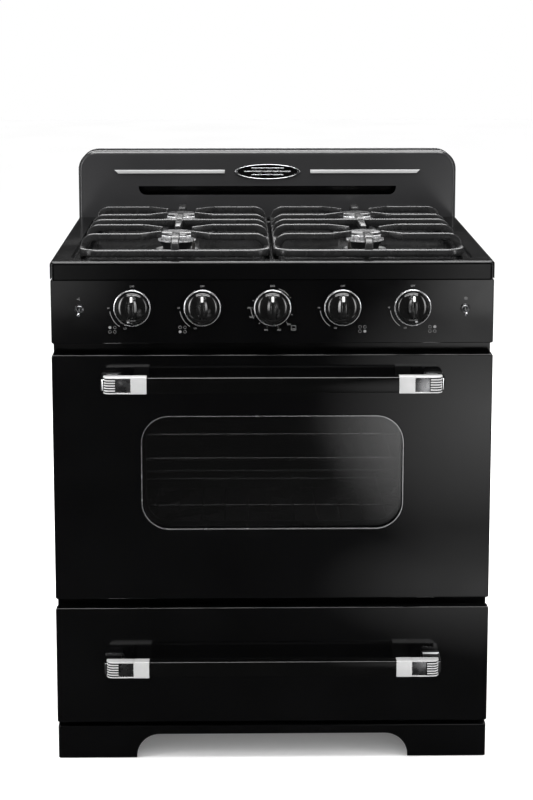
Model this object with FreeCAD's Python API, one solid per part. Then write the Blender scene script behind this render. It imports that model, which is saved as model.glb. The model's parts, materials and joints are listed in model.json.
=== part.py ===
"""Freestanding 30-inch gas range, built as an assembly of separate pieces.

Units are millimetres. While it is built, X runs to the right, Y runs from the door face (0)
to the back, and Z runs up from the floor. place() moves every finished piece so that the
origin is the middle of the whole range's footprint, on the floor.
"""
import FreeCAD, Part
import math
import os
from FreeCAD import Vector

X_AXIS = Vector(1, 0, 0)
Y_AXIS = Vector(0, 1, 0)
Z_AXIS = Vector(0, 0, 1)

# ---------------------------------------------------------------- driving dimensions
WIDTH = 760.0               # cooktop and backguard, side to side
FACE_WIDTH = WIDTH - 2.0    # door, drawer front and control panel
CASE_WIDTH = WIDTH - 3.0    # side panels and plinth
BODY_DEPTH = 645.0          # door face to the back of the backguard

PLINTH_H = 60.0             # heights of the stacked fronts, from the floor up
PLINTH_GAP = 8.5
DRAWER_H = 209.0
DRAWER_GAP = 16.0
DOOR_H = 435.0
DOOR_GAP = 19.5
PANEL_H = 111.5
PANEL_GAP = 0.5
LIP_H = 30.0                # front lip of the cooktop
BACKGUARD_H = 133.0         # backguard above the cooktop rim
BACKGUARD_T = 55.0          # backguard, front to back

SHEET = 1.5                 # enamelled panels
FRAME_SHEET = 2.0           # welded frame
DOOR_T = 30.0               # oven door, front to back
DOOR_STANDOFF = 4.0         # door back to the frame's face
PANEL_SETBACK = 2.0         # control panel behind the door face
PLINTH_SETBACK = 2.0
DRAWER_PROUD = 2.0          # drawer front ahead of the door face
DRAWER_T = 18.0

FLOOR_CLEAR = 1.0           # plinth above the floor, which the levelling feet stand on
CLEAR = 0.5                 # between neighbouring pieces
REST_CLEAR = 0.3            # under a piece that lifts or slides off its seat
RUN = 0.05                  # radial clearance of a pin or stem in its bore

# oven
OVEN_W = 600.0
OVEN_H = 375.0
OVEN_D = 464.0
OVEN_FLOOR_RISE = 36.5      # cavity floor above the door's bottom edge
INSULATION_T = 25.0
FLOOR_PLATE_RISE = 22.0
VENT_W = 200.0
VENT_D = 25.0
DUCT_W = 210.0
DUCT_H = 40.0
DUCT_SHEET = 1.0
RACK_LEVELS = 6
RACK_LEVEL_0 = 62.0         # lowest rack above the cavity floor
RACK_PITCH = 45.3
RACK_SLOTS = (0, 3)         # levels that hold a rack
RACK_WIRE = 3.0             # radii of the rack's and the guides' wires
RACK_FINE_WIRE = 1.7
RACK_FINE_PITCH = 42.0
GUIDE_WIRE = 2.5
RACK_SIDE_CLEAR = 9.0       # rack wire centre to the oven wall
RACK_FRONT = 28.0           # rack wire centre behind the frame's face
RACK_BACK_CLEAR = 20.0

# door
WINDOW_W = 454.0
WINDOW_H = 202.0
WINDOW_R = 48.0
WINDOW_RISE = 125.5         # window's lower edge above the door's bottom edge
WINDOW_RECESS = 9.5
WINDOW_LAP = 12.0           # glass behind the window's edge
GLASS_T = 4.0
GASKET_W = 8.0
GASKET_T = 3.5
GASKET_OUT = 13.0           # gasket's outer edge beyond the oven opening
HINGE_Y = 20.0              # hinge pin behind the door face
HINGE_RISE = 8.0            # hinge pin above the door's bottom edge
HINGE_X = 321.0
HINGE_ARM_T = 6.0
HINGE_ARM_H = 10.0
HINGE_EYE_R = 7.5
HINGE_PIN_R = 4.0
HINGE_EAR_T = 2.0
HINGE_EAR_GAP = 5.0

# handles
HANDLE_LENGTH = 586.0
HANDLE_H = 29.0
HANDLE_T = 18.0
HANDLE_PROUD = 53.0         # handle's front ahead of the face that carries it
HANDLE_END_L = 79.0
HANDLE_CORNER_R = 13.0
HANDLE_CAP_INSET = 5.0      # fluted cap short of the post's outer face
HANDLE_POST_L = 30.0
HANDLE_POST_H = 21.0
HANDLE_POST_R = 8.0
HANDLE_POST_LAP = 12.0      # post inside the cap
HANDLE_SLEEVE = 1.0         # wall of the end around the bar
HANDLE_LAP = 12.0           # bar inside each end
HANDLE_FLUTES = 6
FLUTE_L = 27.0
FLUTE_W = 1.9
FLUTE_DEPTH = 1.0
DOOR_HANDLE_DROP = 42.0     # handle's middle below the door's top edge
DRAWER_HANDLE_DROP = 93.0

# drawer
DRAWER_BOX_W = 670.0
DRAWER_BOX_H = 166.0
DRAWER_BOX_D = 484.0
DRAWER_BOX_RISE = 15.5      # box above the drawer front's lower edge
RUNNER_W = 8.0
RUNNER_H = 16.0
RUNNER_RISE = 61.0
RAIL_SHEET = 2.0
RAIL_CLEAR = 1.0

# controls
KNOB_PITCH = 120.0
KNOB_COUNT = 5
KNOB_RISE = 62.0            # knob axis above the panel's lower edge
KNOB_R = 27.5
KNOB_SKIRT = 4.0
KNOB_DOME = 15.0
GRIP_W = 21.0
GRIP_L = 43.0
GRIP_H = 28.0
GRIP_CROWN_R = 46.0
GRIP_GROOVE_X = 3.6
GRIP_GROOVE_W = 1.6
GRIP_GROOVE_DEPTH = 2.2
KNOB_TRAVEL = 3.0
BEZEL_R = 31.0
BEZEL_WALL = 2.4
BEZEL_H = 5.5
STEM_R = 4.0
STEM_HOLE_R = 8.0
STEM_COLLAR_R = 6.5
VALVE_Y = 42.0
VALVE_W = 26.0
VALVE_T = 26.0
VALVE_H = 28.0
VALVE_COLLAR_R = 9.0
THERMOSTAT_W = 60.0
THERMOSTAT_H = 60.0
SWITCH_X = 330.0
SWITCH_RISE = 61.0
SWITCH_BUSH_R = 5.5
SWITCH_BORE_R = 4.0
SWITCH_NUT_R = 8.0
LEVER_TILT = 22.0           # lever below level, degrees
LEVER_L = 19.5
LEVER_TIP_R = 3.5

# cooktop
WELL_SIDE = 32.0            # rim width at the sides
WELL_FRONT = 28.0
WELL_BACK = 34.0
WELL_DEPTH = 6.0
WELL_R = 30.0
PAD_H = 3.0
BURNER_X = 168.0
BURNER_FRONT_Y = 160.0
BURNER_REAR_Y = 418.0
PAD_R_LARGE = 69.0
PAD_R_SMALL = 50.0
CUP_R = 24.0
CUP_H = 31.0
BURNER_FLANGE_R = 38.0
BURNER_FLANGE_H = 3.0
BURNER_NECK_R = 24.0        # flared neck between the flange and the head
BURNER_NECK_TOP_R = 31.0
BURNER_NECK_H = 14.0
HEAD_R = 33.5
HEAD_H = 12.0
HEAD_PORTS = 24
CAP_R = 30.0
CAP_H = 5.0
ELECTRODE_R = 3.0
ELECTRODE_H = 34.0
ELECTRODE_X = 30.0          # electrode beside and in front of its burner

# grates
GRATE_OUT = 336.0           # outer edge from the middle of the range
GRATE_IN = 3.0              # inner edge from the middle of the range
GRATE_FRONT = 42.0
GRATE_BACK = 535.0
GRATE_RAIL_W = 11.0
GRATE_RAIL_H = 13.0
GRATE_CORNER_R = 38.0
GRATE_TOP = 35.0            # bar tops above the cooktop rim
GRATE_BAR_W = 8.0
GRATE_BAR_H = 12.0
GRATE_FOOT_R = 6.0
GRATE_FINGER_R = 38.0       # finger tips from the burner's axis
GRATE_FINGER_W = 14.0       # fore-and-aft fingers
GRATE_FINGER_Y = 59.0       # side fingers ahead of and behind the burner
GRATE_ELBOW_X = 62.0        # side fingers turn inward this far from the burner

# gas pipes and wiring
PIPE_R = 10.7
PIPE_BORE_R = 8.0
PIPE_Y = 80.0
PIPE_X = 335.0
TUBE_R = 4.0
TUBE_BEND = 8.0
BOSS_R = 15.0
INLET_R = 9.3
INLET_L = 16.0
GLAND_R = 4.5
GLAND_BODY_R = 8.5
GLAND_L = 16.0

# backguard trim
BACKGUARD_R = 38.0
BACKGUARD_EDGE = 8.0
SLOT_W = 518.0
SLOT_H = 18.0
SLOT_R = 15.0
SLOT_RISE = 53.0            # slot's middle above the cooktop rim
STRIP_IN = 86.0
STRIP_OUT = 307.0
STRIP_H = 7.0
STRIP_T = 2.0
STRIP_RISE = 91.0
BADGE_W = 132.0
BADGE_H = 30.0
BADGE_T = 3.0

# ---------------------------------------------------------------- derived places
FACE_HALF = FACE_WIDTH / 2
CASE_HALF = CASE_WIDTH / 2
FRAME_HALF = CASE_HALF - SHEET
DRAWER_Z = PLINTH_H + PLINTH_GAP
DRAWER_TOP = DRAWER_Z + DRAWER_H
DOOR_Z = DRAWER_TOP + DRAWER_GAP
DOOR_TOP = DOOR_Z + DOOR_H
PANEL_Z = DOOR_TOP + DOOR_GAP
PANEL_TOP = PANEL_Z + PANEL_H
LIP_Z = PANEL_TOP + PANEL_GAP
RIM_Z = LIP_Z + LIP_H
WELL_Z = RIM_Z - WELL_DEPTH
PAD_Z = WELL_Z + PAD_H
HEAD_Z = PAD_Z + BURNER_FLANGE_H + BURNER_NECK_H
TOP_Z = RIM_Z + BACKGUARD_H

FRAME_Y = DOOR_T + DOOR_STANDOFF
FRAME_BACK = FRAME_Y + FRAME_SHEET
BACKGUARD_Y = BODY_DEPTH - BACKGUARD_T
COVER_Y = BODY_DEPTH - SHEET
REAR_Y = BODY_DEPTH - 9.0   # rear face of the frame, under the backguard's overhang
COOKTOP_BACK = BACKGUARD_Y - 2.0
FRAME_TOP = LIP_Z - 2.0
FRAME_Z = PLINTH_H + 2.0

OVEN_HALF = OVEN_W / 2
OVEN_Z = DOOR_Z + OVEN_FLOOR_RISE
OVEN_TOP = OVEN_Z + OVEN_H
OVEN_BACK = FRAME_BACK + OVEN_D
HINGE_Z = DOOR_Z + HINGE_RISE
WINDOW_Z = DOOR_Z + WINDOW_RISE

KNOB_Z = PANEL_Z + KNOB_RISE
KNOB_BACK = PANEL_SETBACK - KNOB_TRAVEL - CLEAR
KNOB_XS = [KNOB_PITCH * (i - (KNOB_COUNT - 1) / 2) for i in range(KNOB_COUNT)]
SWITCH_Z = PANEL_Z + SWITCH_RISE
SWITCH_PIVOT_Y = PANEL_SETBACK - 1.0
DRAWER_Y = -DRAWER_PROUD
DRAWER_BOX_Y = DRAWER_Y + DRAWER_T
DRAWER_BOX_Z = DRAWER_Z + DRAWER_BOX_RISE
RUNNER_Z = DRAWER_BOX_Z + RUNNER_RISE
DOOR_HANDLE_Z = DOOR_TOP - DOOR_HANDLE_DROP
DRAWER_HANDLE_Z = DRAWER_TOP - DRAWER_HANDLE_DROP

FRONT_MOST = DRAWER_Y - HANDLE_PROUD
Y_SHIFT = -(FRONT_MOST + BODY_DEPTH) / 2
FOOT_SPOTS = [(x, y) for x in (-355.0, 355.0) for y in (60.0, 600.0)]
BURNERS = [
    (-BURNER_X, BURNER_FRONT_Y, PAD_R_SMALL),
    (-BURNER_X, BURNER_REAR_Y, PAD_R_LARGE),
    (BURNER_X, BURNER_FRONT_Y, PAD_R_LARGE),
    (BURNER_X, BURNER_REAR_Y, PAD_R_SMALL),
]
RACK_ZS = [OVEN_Z + RACK_LEVEL_0 + RACK_PITCH * level for level in RACK_SLOTS]
BAKE_X = 120.0
BAKE_Z = OVEN_Z + 11.0
BROIL_X = 200.0
BROIL_Z = OVEN_TOP - 17.0
OVEN_TUBE_R = 8.0
LAMP_X = 235.0
LAMP_Z = OVEN_TOP - 75.0
BULB_Y = OVEN_BACK - 12.0
BULB_Z = OVEN_TOP - 15.0
CAPILLARY_X = 152.0
CAPILLARY_R = 1.2


# ---------------------------------------------------------------- shared shapes
def box(x0, x1, y0, y1, z0, z1):
    """Block between two opposite corners."""
    return Part.makeBox(x1 - x0, y1 - y0, z1 - z0, Vector(x0, y0, z0))


def rod(start, end, radius):
    """Round bar between two points."""
    a = Vector(*start)
    b = Vector(*end)
    return Part.makeCylinder(radius, (b - a).Length, a, b - a)


def fuse(shapes):
    """One piece from several that touch or overlap."""
    joined = shapes[0]
    if len(shapes) > 1:
        joined = joined.fuse(shapes[1:])
    return joined.removeSplitter()


def mirrored(shape):
    """The same piece on the other side of the range."""
    return shape.mirror(Vector(0, 0, 0), X_AXIS)


def both_sides(shape):
    return [shape, mirrored(shape)]


def edges_along(shape, axis, keep=None):
    """Straight edges parallel to an axis, kept where keep(middle) is true."""
    picked = []
    for edge in shape.Edges:
        if edge.Curve.TypeId != "Part::GeomLine":
            continue
        if abs(edge.Curve.Direction.dot(axis)) < 0.999:
            continue
        if keep is None or keep(edge.CenterOfMass):
            picked.append(edge)
    return picked


def edges_at(shape, side, level):
    """Edges that lie wholly in the plane where side ("X", "Y" or "Z") equals level."""
    picked = []
    for edge in shape.Edges:
        bounds = edge.BoundBox
        low = getattr(bounds, side + "Min")
        high = getattr(bounds, side + "Max")
        if abs(low - level) < 0.01 and abs(high - level) < 0.01:
            picked.append(edge)
    return picked


def rounded_block(x0, x1, y0, y1, z0, z1, axis, radius):
    """Block whose four edges along the axis are rounded."""
    block = box(x0, x1, y0, y1, z0, z1)
    return block.makeFillet(radius, edges_along(block, axis))


def front_pan(x0, x1, y0, y1, z0, z1, corner, edge):
    """Folded sheet pan, open at the back, with round corners and a softened front rim."""
    outer = rounded_block(x0, x1, y0, y1, z0, z1, Y_AXIS, corner)
    outer = outer.makeFillet(edge, edges_at(outer, "Y", y0))
    inner = rounded_block(x0 + SHEET, x1 - SHEET, y0 + SHEET, y1 + 1, z0 + SHEET, z1 - SHEET,
                          Y_AXIS, corner - SHEET)
    return outer.cut(inner)


def bent_tube(points, radius, bend):
    """Round bar along straight runs joined by arcs of the bend radius."""
    points = [Vector(*point) for point in points]
    pieces = []
    start = points[0]
    for before, corner, after in zip(points, points[1:], points[2:]):
        into = (corner - before).normalize()
        out = (after - corner).normalize()
        turn = into.getAngle(out)
        setback = bend * math.tan(turn / 2)
        arc_start = corner - into * setback
        axis = into.cross(out).normalize()
        centre = arc_start + axis.cross(into) * bend
        disc = Part.Face(Part.Wire(Part.makeCircle(radius, arc_start, into)))
        pieces.append(Part.makeCylinder(radius, (arc_start - start).Length, start, into))
        pieces.append(disc.revolve(centre, axis, math.degrees(turn)))
        start = corner + out * setback
    last = points[-1] - start
    pieces.append(Part.makeCylinder(radius, last.Length, start, last))
    return fuse(pieces)


def prism(points, thickness):
    """Closed outline of (x, y, z) points, pushed along a vector."""
    corners = [Vector(*point) for point in points]
    face = Part.Face(Part.makePolygon(corners + corners[:1]))
    return face.extrude(thickness)


# ---------------------------------------------------------------- base and case
def base_plinth():
    """Three-sided skirt with an arch between two front feet."""
    y0 = PLINTH_SETBACK
    outer = box(-CASE_HALF, CASE_HALF, y0, REAR_Y, FLOOR_CLEAR, PLINTH_H)
    outer = outer.makeFillet(5.0, edges_along(outer, Z_AXIS, lambda mid: mid.y < y0 + 1))
    outer = outer.makeFillet(2.0, edges_at(outer, "Z", PLINTH_H))
    wall = FRAME_SHEET
    flange = 22.0
    hollow = box(-CASE_HALF + wall, CASE_HALF - wall, y0 + wall, REAR_Y + 1,
                 FLOOR_CLEAR - 1, PLINTH_H - wall)
    top = box(-CASE_HALF + flange, CASE_HALF - flange, y0 + flange, REAR_Y + 1,
              PLINTH_H - wall - 1, PLINTH_H + 1)
    foot_w = 139.0
    arch_top = 44.0
    arch_half = CASE_HALF - foot_w
    arch = box(-arch_half, arch_half, y0 - 1, y0 + wall + 1, FLOOR_CLEAR - 41, arch_top)
    arch = arch.makeFillet(40.0, edges_along(arch, Y_AXIS, lambda mid: mid.z > arch_top - 1))
    studs = [rod((x, y, PLINTH_H - 5), (x, y, PLINTH_H + 5), 7.0) for x, y in FOOT_SPOTS]
    return outer.cut([hollow, top, arch] + studs)


def leveling_feet():
    """Four adjustable feet, each a stud, a pad and a lock nut."""
    feet = []
    for x, y in FOOT_SPOTS:
        pad = rod((x, y, 0), (x, y, 8), 16.0)
        pad = pad.makeFillet(2.0, edges_at(pad, "Z", 8))
        stud = rod((x, y, 8), (x, y, FRAME_Z + 18), 5.0)
        feet.append(fuse([pad, stud]))
    return feet


def chassis_frame():
    """Welded frame: front plate with its three openings, rails and rear uprights."""
    plate = box(-FRAME_HALF, FRAME_HALF, FRAME_Y, FRAME_BACK, FRAME_Z, FRAME_TOP)
    oven = box(-OVEN_HALF, OVEN_HALF, FRAME_Y - 1, FRAME_BACK + 1, OVEN_Z, OVEN_TOP)
    runner_out = DRAWER_BOX_W / 2 + RUNNER_W + RAIL_CLEAR
    drawer = box(-runner_out, runner_out, FRAME_Y - 1, FRAME_BACK + 1,
                 DRAWER_BOX_Z - 8, DRAWER_BOX_Z + DRAWER_BOX_H + 18)
    controls = box(-345, 345, FRAME_Y - 1, FRAME_BACK + 1, PANEL_Z + 15, PANEL_TOP - 10)
    slot = box(HINGE_X - 5, HINGE_X + 5, FRAME_Y - 1, FRAME_BACK + 1, HINGE_Z - 7, HINGE_Z + 7)
    plate = plate.cut([oven, drawer, controls] + both_sides(slot))
    t = FRAME_SHEET
    side = [
        box(FRAME_HALF - 32, FRAME_HALF, FRAME_BACK, REAR_Y - t, FRAME_Z, FRAME_Z + t),
        box(FRAME_HALF - t, FRAME_HALF, FRAME_BACK, REAR_Y - t, FRAME_Z, FRAME_Z + 38),
        box(FRAME_HALF - t, FRAME_HALF, FRAME_BACK, REAR_Y - t, FRAME_TOP - 22, FRAME_TOP),
        box(FRAME_HALF - 34, FRAME_HALF, REAR_Y - t, REAR_Y, FRAME_Z, FRAME_TOP),
        box(FRAME_HALF - t, FRAME_HALF, REAR_Y - 30, REAR_Y - t, FRAME_Z, FRAME_TOP),
    ]
    rails = [
        box(-FRAME_HALF, FRAME_HALF, REAR_Y - t, REAR_Y, FRAME_Z, FRAME_Z + 30),
        box(-FRAME_HALF, FRAME_HALF, REAR_Y - t, REAR_Y, FRAME_TOP - 30, FRAME_TOP),
    ]
    welded = fuse([plate] + side + [mirrored(piece) for piece in side] + rails)
    cuts = [rod((x, y, FRAME_Z - 1), (x, y, FRAME_Z + 5), 5.2) for x, y in FOOT_SPOTS]
    cuts += rear_holes(REAR_Y - 31, REAR_Y + 1)
    return welded.cut(cuts)


def rear_holes(y0, y1):
    """Holes through the back for the regulator's boss and the cord gland."""
    return [rod((PIPE_X, y0, KNOB_Z), (PIPE_X, y1, KNOB_Z), BOSS_R + 2),
            rod((-PIPE_X, y0, KNOB_Z), (-PIPE_X, y1, KNOB_Z), GLAND_BODY_R + CLEAR)]


def side_panel():
    """Right-hand enamelled side, with a folded front edge."""
    panel = box(FRAME_HALF, CASE_HALF, FRAME_Y, REAR_Y + SHEET, FRAME_Z, FRAME_TOP)
    return panel.makeFillet(1.0, edges_along(panel, Z_AXIS, lambda mid: mid.x > CASE_HALF - 0.1))


def back_panel():
    """Galvanised back with louvre slots and holes for the gas inlet and the cord gland."""
    panel = box(-FRAME_HALF + 3, FRAME_HALF - 3, REAR_Y, REAR_Y + SHEET, FRAME_Z + 3, FRAME_TOP - 2)
    cuts = rear_holes(REAR_Y - 1, REAR_Y + 3)
    for row in range(8):
        z = OVEN_Z + 230 + 16.0 * row
        for x in (-210.0, 210.0):
            cuts.append(rounded_block(x - 55, x + 55, REAR_Y - 1, REAR_Y + 3, z, z + 6, Y_AXIS, 2.9))
    return panel.cut(cuts)


def case_screws():
    """Pan-head screws that hold the back panel."""
    screws = []
    xs = (-340.0, -120.0, 120.0, 340.0)
    for z in (FRAME_Z + 15, FRAME_TOP - 15):
        screws += [(x, z) for x in xs]
    screws += [(x, z) for x in (-350.0, 350.0) for z in (OVEN_Z, OVEN_TOP - 60)]
    made = []
    for x, z in screws:
        y = REAR_Y + SHEET
        head = rod((x, y, z), (x, y + 3, z), 4.0)
        head = head.makeFillet(1.2, edges_at(head, "Y", y + 3))
        slot = box(x - 2.6, x + 2.6, y + 1.8, y + 4, z - 0.5, z + 0.5)
        made.append(head.cut([slot]))
    return made


# ---------------------------------------------------------------- oven
def oven_liner():
    """Five-walled enamelled oven cavity, open at the front."""
    t = SHEET
    outer = box(-OVEN_HALF - t, OVEN_HALF + t, FRAME_BACK, OVEN_BACK + t, OVEN_Z - t, OVEN_TOP + t)
    hollow = rounded_block(-OVEN_HALF, OVEN_HALF, FRAME_BACK - 10, OVEN_BACK, OVEN_Z, OVEN_TOP,
                           Y_AXIS, 6.0)
    vent_y = OVEN_BACK - 30
    vent = box(-VENT_W / 2, VENT_W / 2, vent_y, vent_y + VENT_D, OVEN_TOP - 1, OVEN_TOP + t + 1)
    return outer.cut([hollow, vent] + wall_holes(OVEN_BACK - 1, OVEN_BACK + t + 1)
                     + [rod((CAPILLARY_X, BULB_Y, OVEN_TOP - 1),
                            (CAPILLARY_X, BULB_Y, OVEN_TOP + t + 1), CAPILLARY_R + CLEAR)])


def wall_holes(y0, y1):
    """Holes through the oven's back for the burner tubes and the lamp socket."""
    spots = [(-BAKE_X, BAKE_Z, OVEN_TUBE_R + CLEAR), (-BROIL_X, BROIL_Z, OVEN_TUBE_R + CLEAR),
             (LAMP_X, LAMP_Z, 16.0 + CLEAR)]
    return [rod((x, y0, z), (x, y1, z), radius) for x, z, radius in spots]


def insulation():
    """Mineral-wool jacket around the liner, clear of the flue duct."""
    gap = SHEET + CLEAR
    t = INSULATION_T
    outer = box(-OVEN_HALF - gap - t, OVEN_HALF + gap + t, FRAME_BACK + 2, OVEN_BACK + gap + t,
                OVEN_Z, OVEN_TOP + gap + t)
    inside = box(-OVEN_HALF - gap, OVEN_HALF + gap, FRAME_BACK, OVEN_BACK + gap,
                 OVEN_Z - 1, OVEN_TOP + gap)
    duct_way = box(-OVEN_HALF, OVEN_HALF, OVEN_BACK - 38, BODY_DEPTH, OVEN_TOP, OVEN_TOP + 60)
    return outer.cut([inside, duct_way] + wall_holes(OVEN_BACK, OVEN_BACK + t + 5))


def oven_floor_plate():
    """Lift-out floor above the bake burner, on two folded legs."""
    half = OVEN_HALF - 10
    z = OVEN_Z + FLOOR_PLATE_RISE
    y0 = FRAME_BACK + 8
    y1 = OVEN_BACK - 10
    plate = box(-half, half, y0, y1, z, z + SHEET)
    leg = box(half - SHEET, half, y0, y1, OVEN_Z, z)
    plate = fuse([plate] + both_sides(leg))
    slots = []
    for i in range(6):
        y = y0 + 50 + 64.0 * i
        slot = rounded_block(half - 60, half - 20, y, y + 10, z - 1, z + 3, Z_AXIS, 4.9)
        slots += both_sides(slot)
    return plate.cut(slots)


def oven_burner(x, z, y_end):
    """Tube burner that enters through the oven's back and turns round its front."""
    feed = OVEN_BACK + INSULATION_T + 5
    front = FRAME_BACK + 54
    return bent_tube([(-x, feed, z), (-x, front, z), (x, front, z), (x, y_end, z)], OVEN_TUBE_R, 40.0)


def rack_guides():
    """Wire ladders on the oven's side walls."""
    x_wall = OVEN_HALF - GUIDE_WIRE
    x_rest = x_wall - GUIDE_WIRE * 1.8
    low = OVEN_Z + FLOOR_PLATE_RISE + 12
    levels = [OVEN_Z + RACK_LEVEL_0 + RACK_PITCH * i for i in range(RACK_LEVELS)]
    wires = []
    for y in (FRAME_BACK + 60, OVEN_BACK - 60):
        wires.append(rod((x_wall, y, low), (x_wall, y, levels[-1] + 20), GUIDE_WIRE))
    for level in levels:
        z = level - RACK_WIRE - GUIDE_WIRE - REST_CLEAR
        wires.append(rod((x_rest, FRAME_BACK + 16, z), (x_rest, OVEN_BACK - 15, z), GUIDE_WIRE))
    return both_sides(fuse(wires))


def oven_rack(z):
    """Wire rack: a rim, two cross wires and fore-and-aft wires on top."""
    x = OVEN_HALF - RACK_SIDE_CLEAR
    y0 = FRAME_Y + RACK_FRONT
    y1 = OVEN_BACK - RACK_BACK_CLEAR
    rim = bent_tube([(0, y0, z), (x, y0, z), (x, y1, z), (-x, y1, z), (-x, y0, z), (0, y0, z)],
                    RACK_WIRE, 12.0)
    wires = [rim]
    for y in (y0 + (y1 - y0) * 0.42, y0 + (y1 - y0) * 0.86):
        wires.append(rod((-x, y, z), (x, y, z), RACK_WIRE * 0.8))
    count = int((x - 20) / RACK_FINE_PITCH)
    top = z + RACK_WIRE + RACK_FINE_WIRE * 0.5
    for i in range(-count, count + 1):
        wires.append(rod((i * RACK_FINE_PITCH, y0 - 2, top), (i * RACK_FINE_PITCH, y1 + 2, top),
                         RACK_FINE_WIRE))
    return fuse(wires)


def oven_lamp():
    """Lamp socket through the oven's back, with its glass cover inside."""
    y = OVEN_BACK
    socket = rod((LAMP_X, y, LAMP_Z), (LAMP_X, y + INSULATION_T + 8, LAMP_Z), 16.0)
    flange = rod((LAMP_X, y - 5, LAMP_Z), (LAMP_X, y, LAMP_Z), 24.0)
    dome = rod((LAMP_X, y - 26, LAMP_Z), (LAMP_X, y - 5, LAMP_Z), 20.0)
    dome = dome.makeFillet(9.0, edges_at(dome, "Y", y - 26))
    return fuse([socket, flange, dome])


def flue_duct():
    """Sheet duct from the oven's roof up to the slot in the backguard."""
    t = DUCT_SHEET
    half = DUCT_W / 2
    base = OVEN_TOP + SHEET
    y0 = OVEN_BACK - 34
    rise_y = BACKGUARD_Y + SHEET + 2
    back = REAR_Y - FRAME_SHEET
    hood_half = SLOT_W / 2 + 8
    hood_z = RIM_Z + SLOT_RISE - SLOT_H
    hood_top = RIM_Z + SLOT_RISE + SLOT_H
    outer = [
        box(-half, half, y0, back, base, base + DUCT_H),
        box(-half, half, rise_y, back, base, hood_top),
        box(-hood_half, hood_half, rise_y, back, hood_z, hood_top),
    ]
    inner = [
        box(-half + t, half - t, y0 + t, back - t, base + t, base + DUCT_H - t),
        box(-half + t, half - t, rise_y + t, back - t, base + t, hood_top - t),
        box(-hood_half + t, hood_half - t, rise_y + t, back - t, hood_z + t, hood_top - t),
    ]
    vent = box(-VENT_W / 2, VENT_W / 2, OVEN_BACK - 30, OVEN_BACK - 30 + VENT_D, base - 1, base + t + 1)
    mouth_z = RIM_Z + SLOT_RISE
    mouth = box(-SLOT_W / 2, SLOT_W / 2, rise_y - 1, rise_y + t + 1,
                mouth_z - SLOT_H / 2, mouth_z + SLOT_H / 2)
    return fuse(outer).cut([fuse(inner), vent, mouth])


# ---------------------------------------------------------------- cooktop and burners
def cooktop():
    """Pressed top with a rolled rim, a sunken well, four raised pads and deep sides."""
    half = WIDTH / 2
    t = SHEET
    outer = box(-half, half, 0, COOKTOP_BACK, LIP_Z, RIM_Z)
    outer = outer.makeFillet(8.0, edges_along(outer, Z_AXIS, lambda mid: mid.y < 1))
    outer = outer.makeFillet(5.0, edges_at(outer, "Z", RIM_Z))
    well = rounded_block(-half + WELL_SIDE, half - WELL_SIDE, WELL_FRONT, COOKTOP_BACK - WELL_BACK,
                         WELL_Z, RIM_Z + 1, Z_AXIS, WELL_R)
    well = well.makeFillet(2.5, edges_at(well, "Z", WELL_Z))
    under = box(-half + t, half - t, t, COOKTOP_BACK - t, LIP_Z - 1, WELL_Z - t)
    rim_hollow = box(-half + 6, half - 6, 6, COOKTOP_BACK - 6, WELL_Z - t - 1, RIM_Z - t)
    well_wall = rounded_block(-half + WELL_SIDE - t, half - WELL_SIDE + t, WELL_FRONT - t,
                              COOKTOP_BACK - WELL_BACK + t, WELL_Z - t - 2, RIM_Z, Z_AXIS, WELL_R + t)
    top = outer.cut([well, under, rim_hollow.cut([well_wall])])
    pads = []
    holes = []
    for x, y, radius in BURNERS:
        pad = rod((x, y, WELL_Z - 1), (x, y, PAD_Z), radius)
        pads.append(pad.makeFillet(2.0, edges_at(pad, "Z", PAD_Z)))
        holes.append(rod((x, y, WELL_Z - 5), (x, y, PAD_Z + 1), CUP_R + CLEAR))
        ex, ey = electrode_spot(x, y)
        holes.append(rod((ex, ey, WELL_Z - 5), (ex, ey, PAD_Z + 1), ELECTRODE_R + CLEAR))
    return fuse([top] + pads).cut(holes)


def electrode_spot(x, y):
    """Where a burner's spark electrode stands, towards the middle and the front."""
    return x - math.copysign(ELECTRODE_X, x), y - ELECTRODE_X


def burner_bases():
    """Cast bodies: a cup below the top, a flange that rests on the pad and a flared neck."""
    bases = []
    for x, y, _ in BURNERS:
        cup = rod((x, y, PAD_Z - CUP_H), (x, y, PAD_Z), CUP_R)
        flange = rod((x, y, PAD_Z), (x, y, PAD_Z + BURNER_FLANGE_H), BURNER_FLANGE_R)
        flange = flange.makeFillet(1.2, edges_at(flange, "Z", PAD_Z + BURNER_FLANGE_H))
        neck = Part.makeCone(BURNER_NECK_R, BURNER_NECK_TOP_R, BURNER_NECK_H,
                             Vector(x, y, PAD_Z + BURNER_FLANGE_H))
        throat = rod((x, y, PAD_Z - CUP_H + 6), (x, y, HEAD_Z + 1), 14.0)
        bases.append(fuse([cup, flange, neck]).cut([throat]))
    return bases


def burner_heads():
    """Ported rings that stand on the bases."""
    heads = []
    z0 = HEAD_Z
    for x, y, _ in BURNERS:
        head = rod((x, y, z0), (x, y, z0 + HEAD_H), HEAD_R)
        head = head.makeFillet(1.5, edges_at(head, "Z", z0 + HEAD_H))
        cuts = [rod((x, y, z0 - 1), (x, y, z0 + HEAD_H + 1), HEAD_R - 10)]
        for i in range(HEAD_PORTS):
            angle = 2 * math.pi * i / HEAD_PORTS
            port = box(HEAD_R - 4, HEAD_R + 2, -1.2, 1.2, z0 + 4, z0 + HEAD_H + 1)
            port.rotate(Vector(0, 0, 0), Z_AXIS, math.degrees(angle))
            port.translate(Vector(x, y, 0))
            cuts.append(port)
        heads.append(head.cut(cuts))
    return heads


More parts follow.
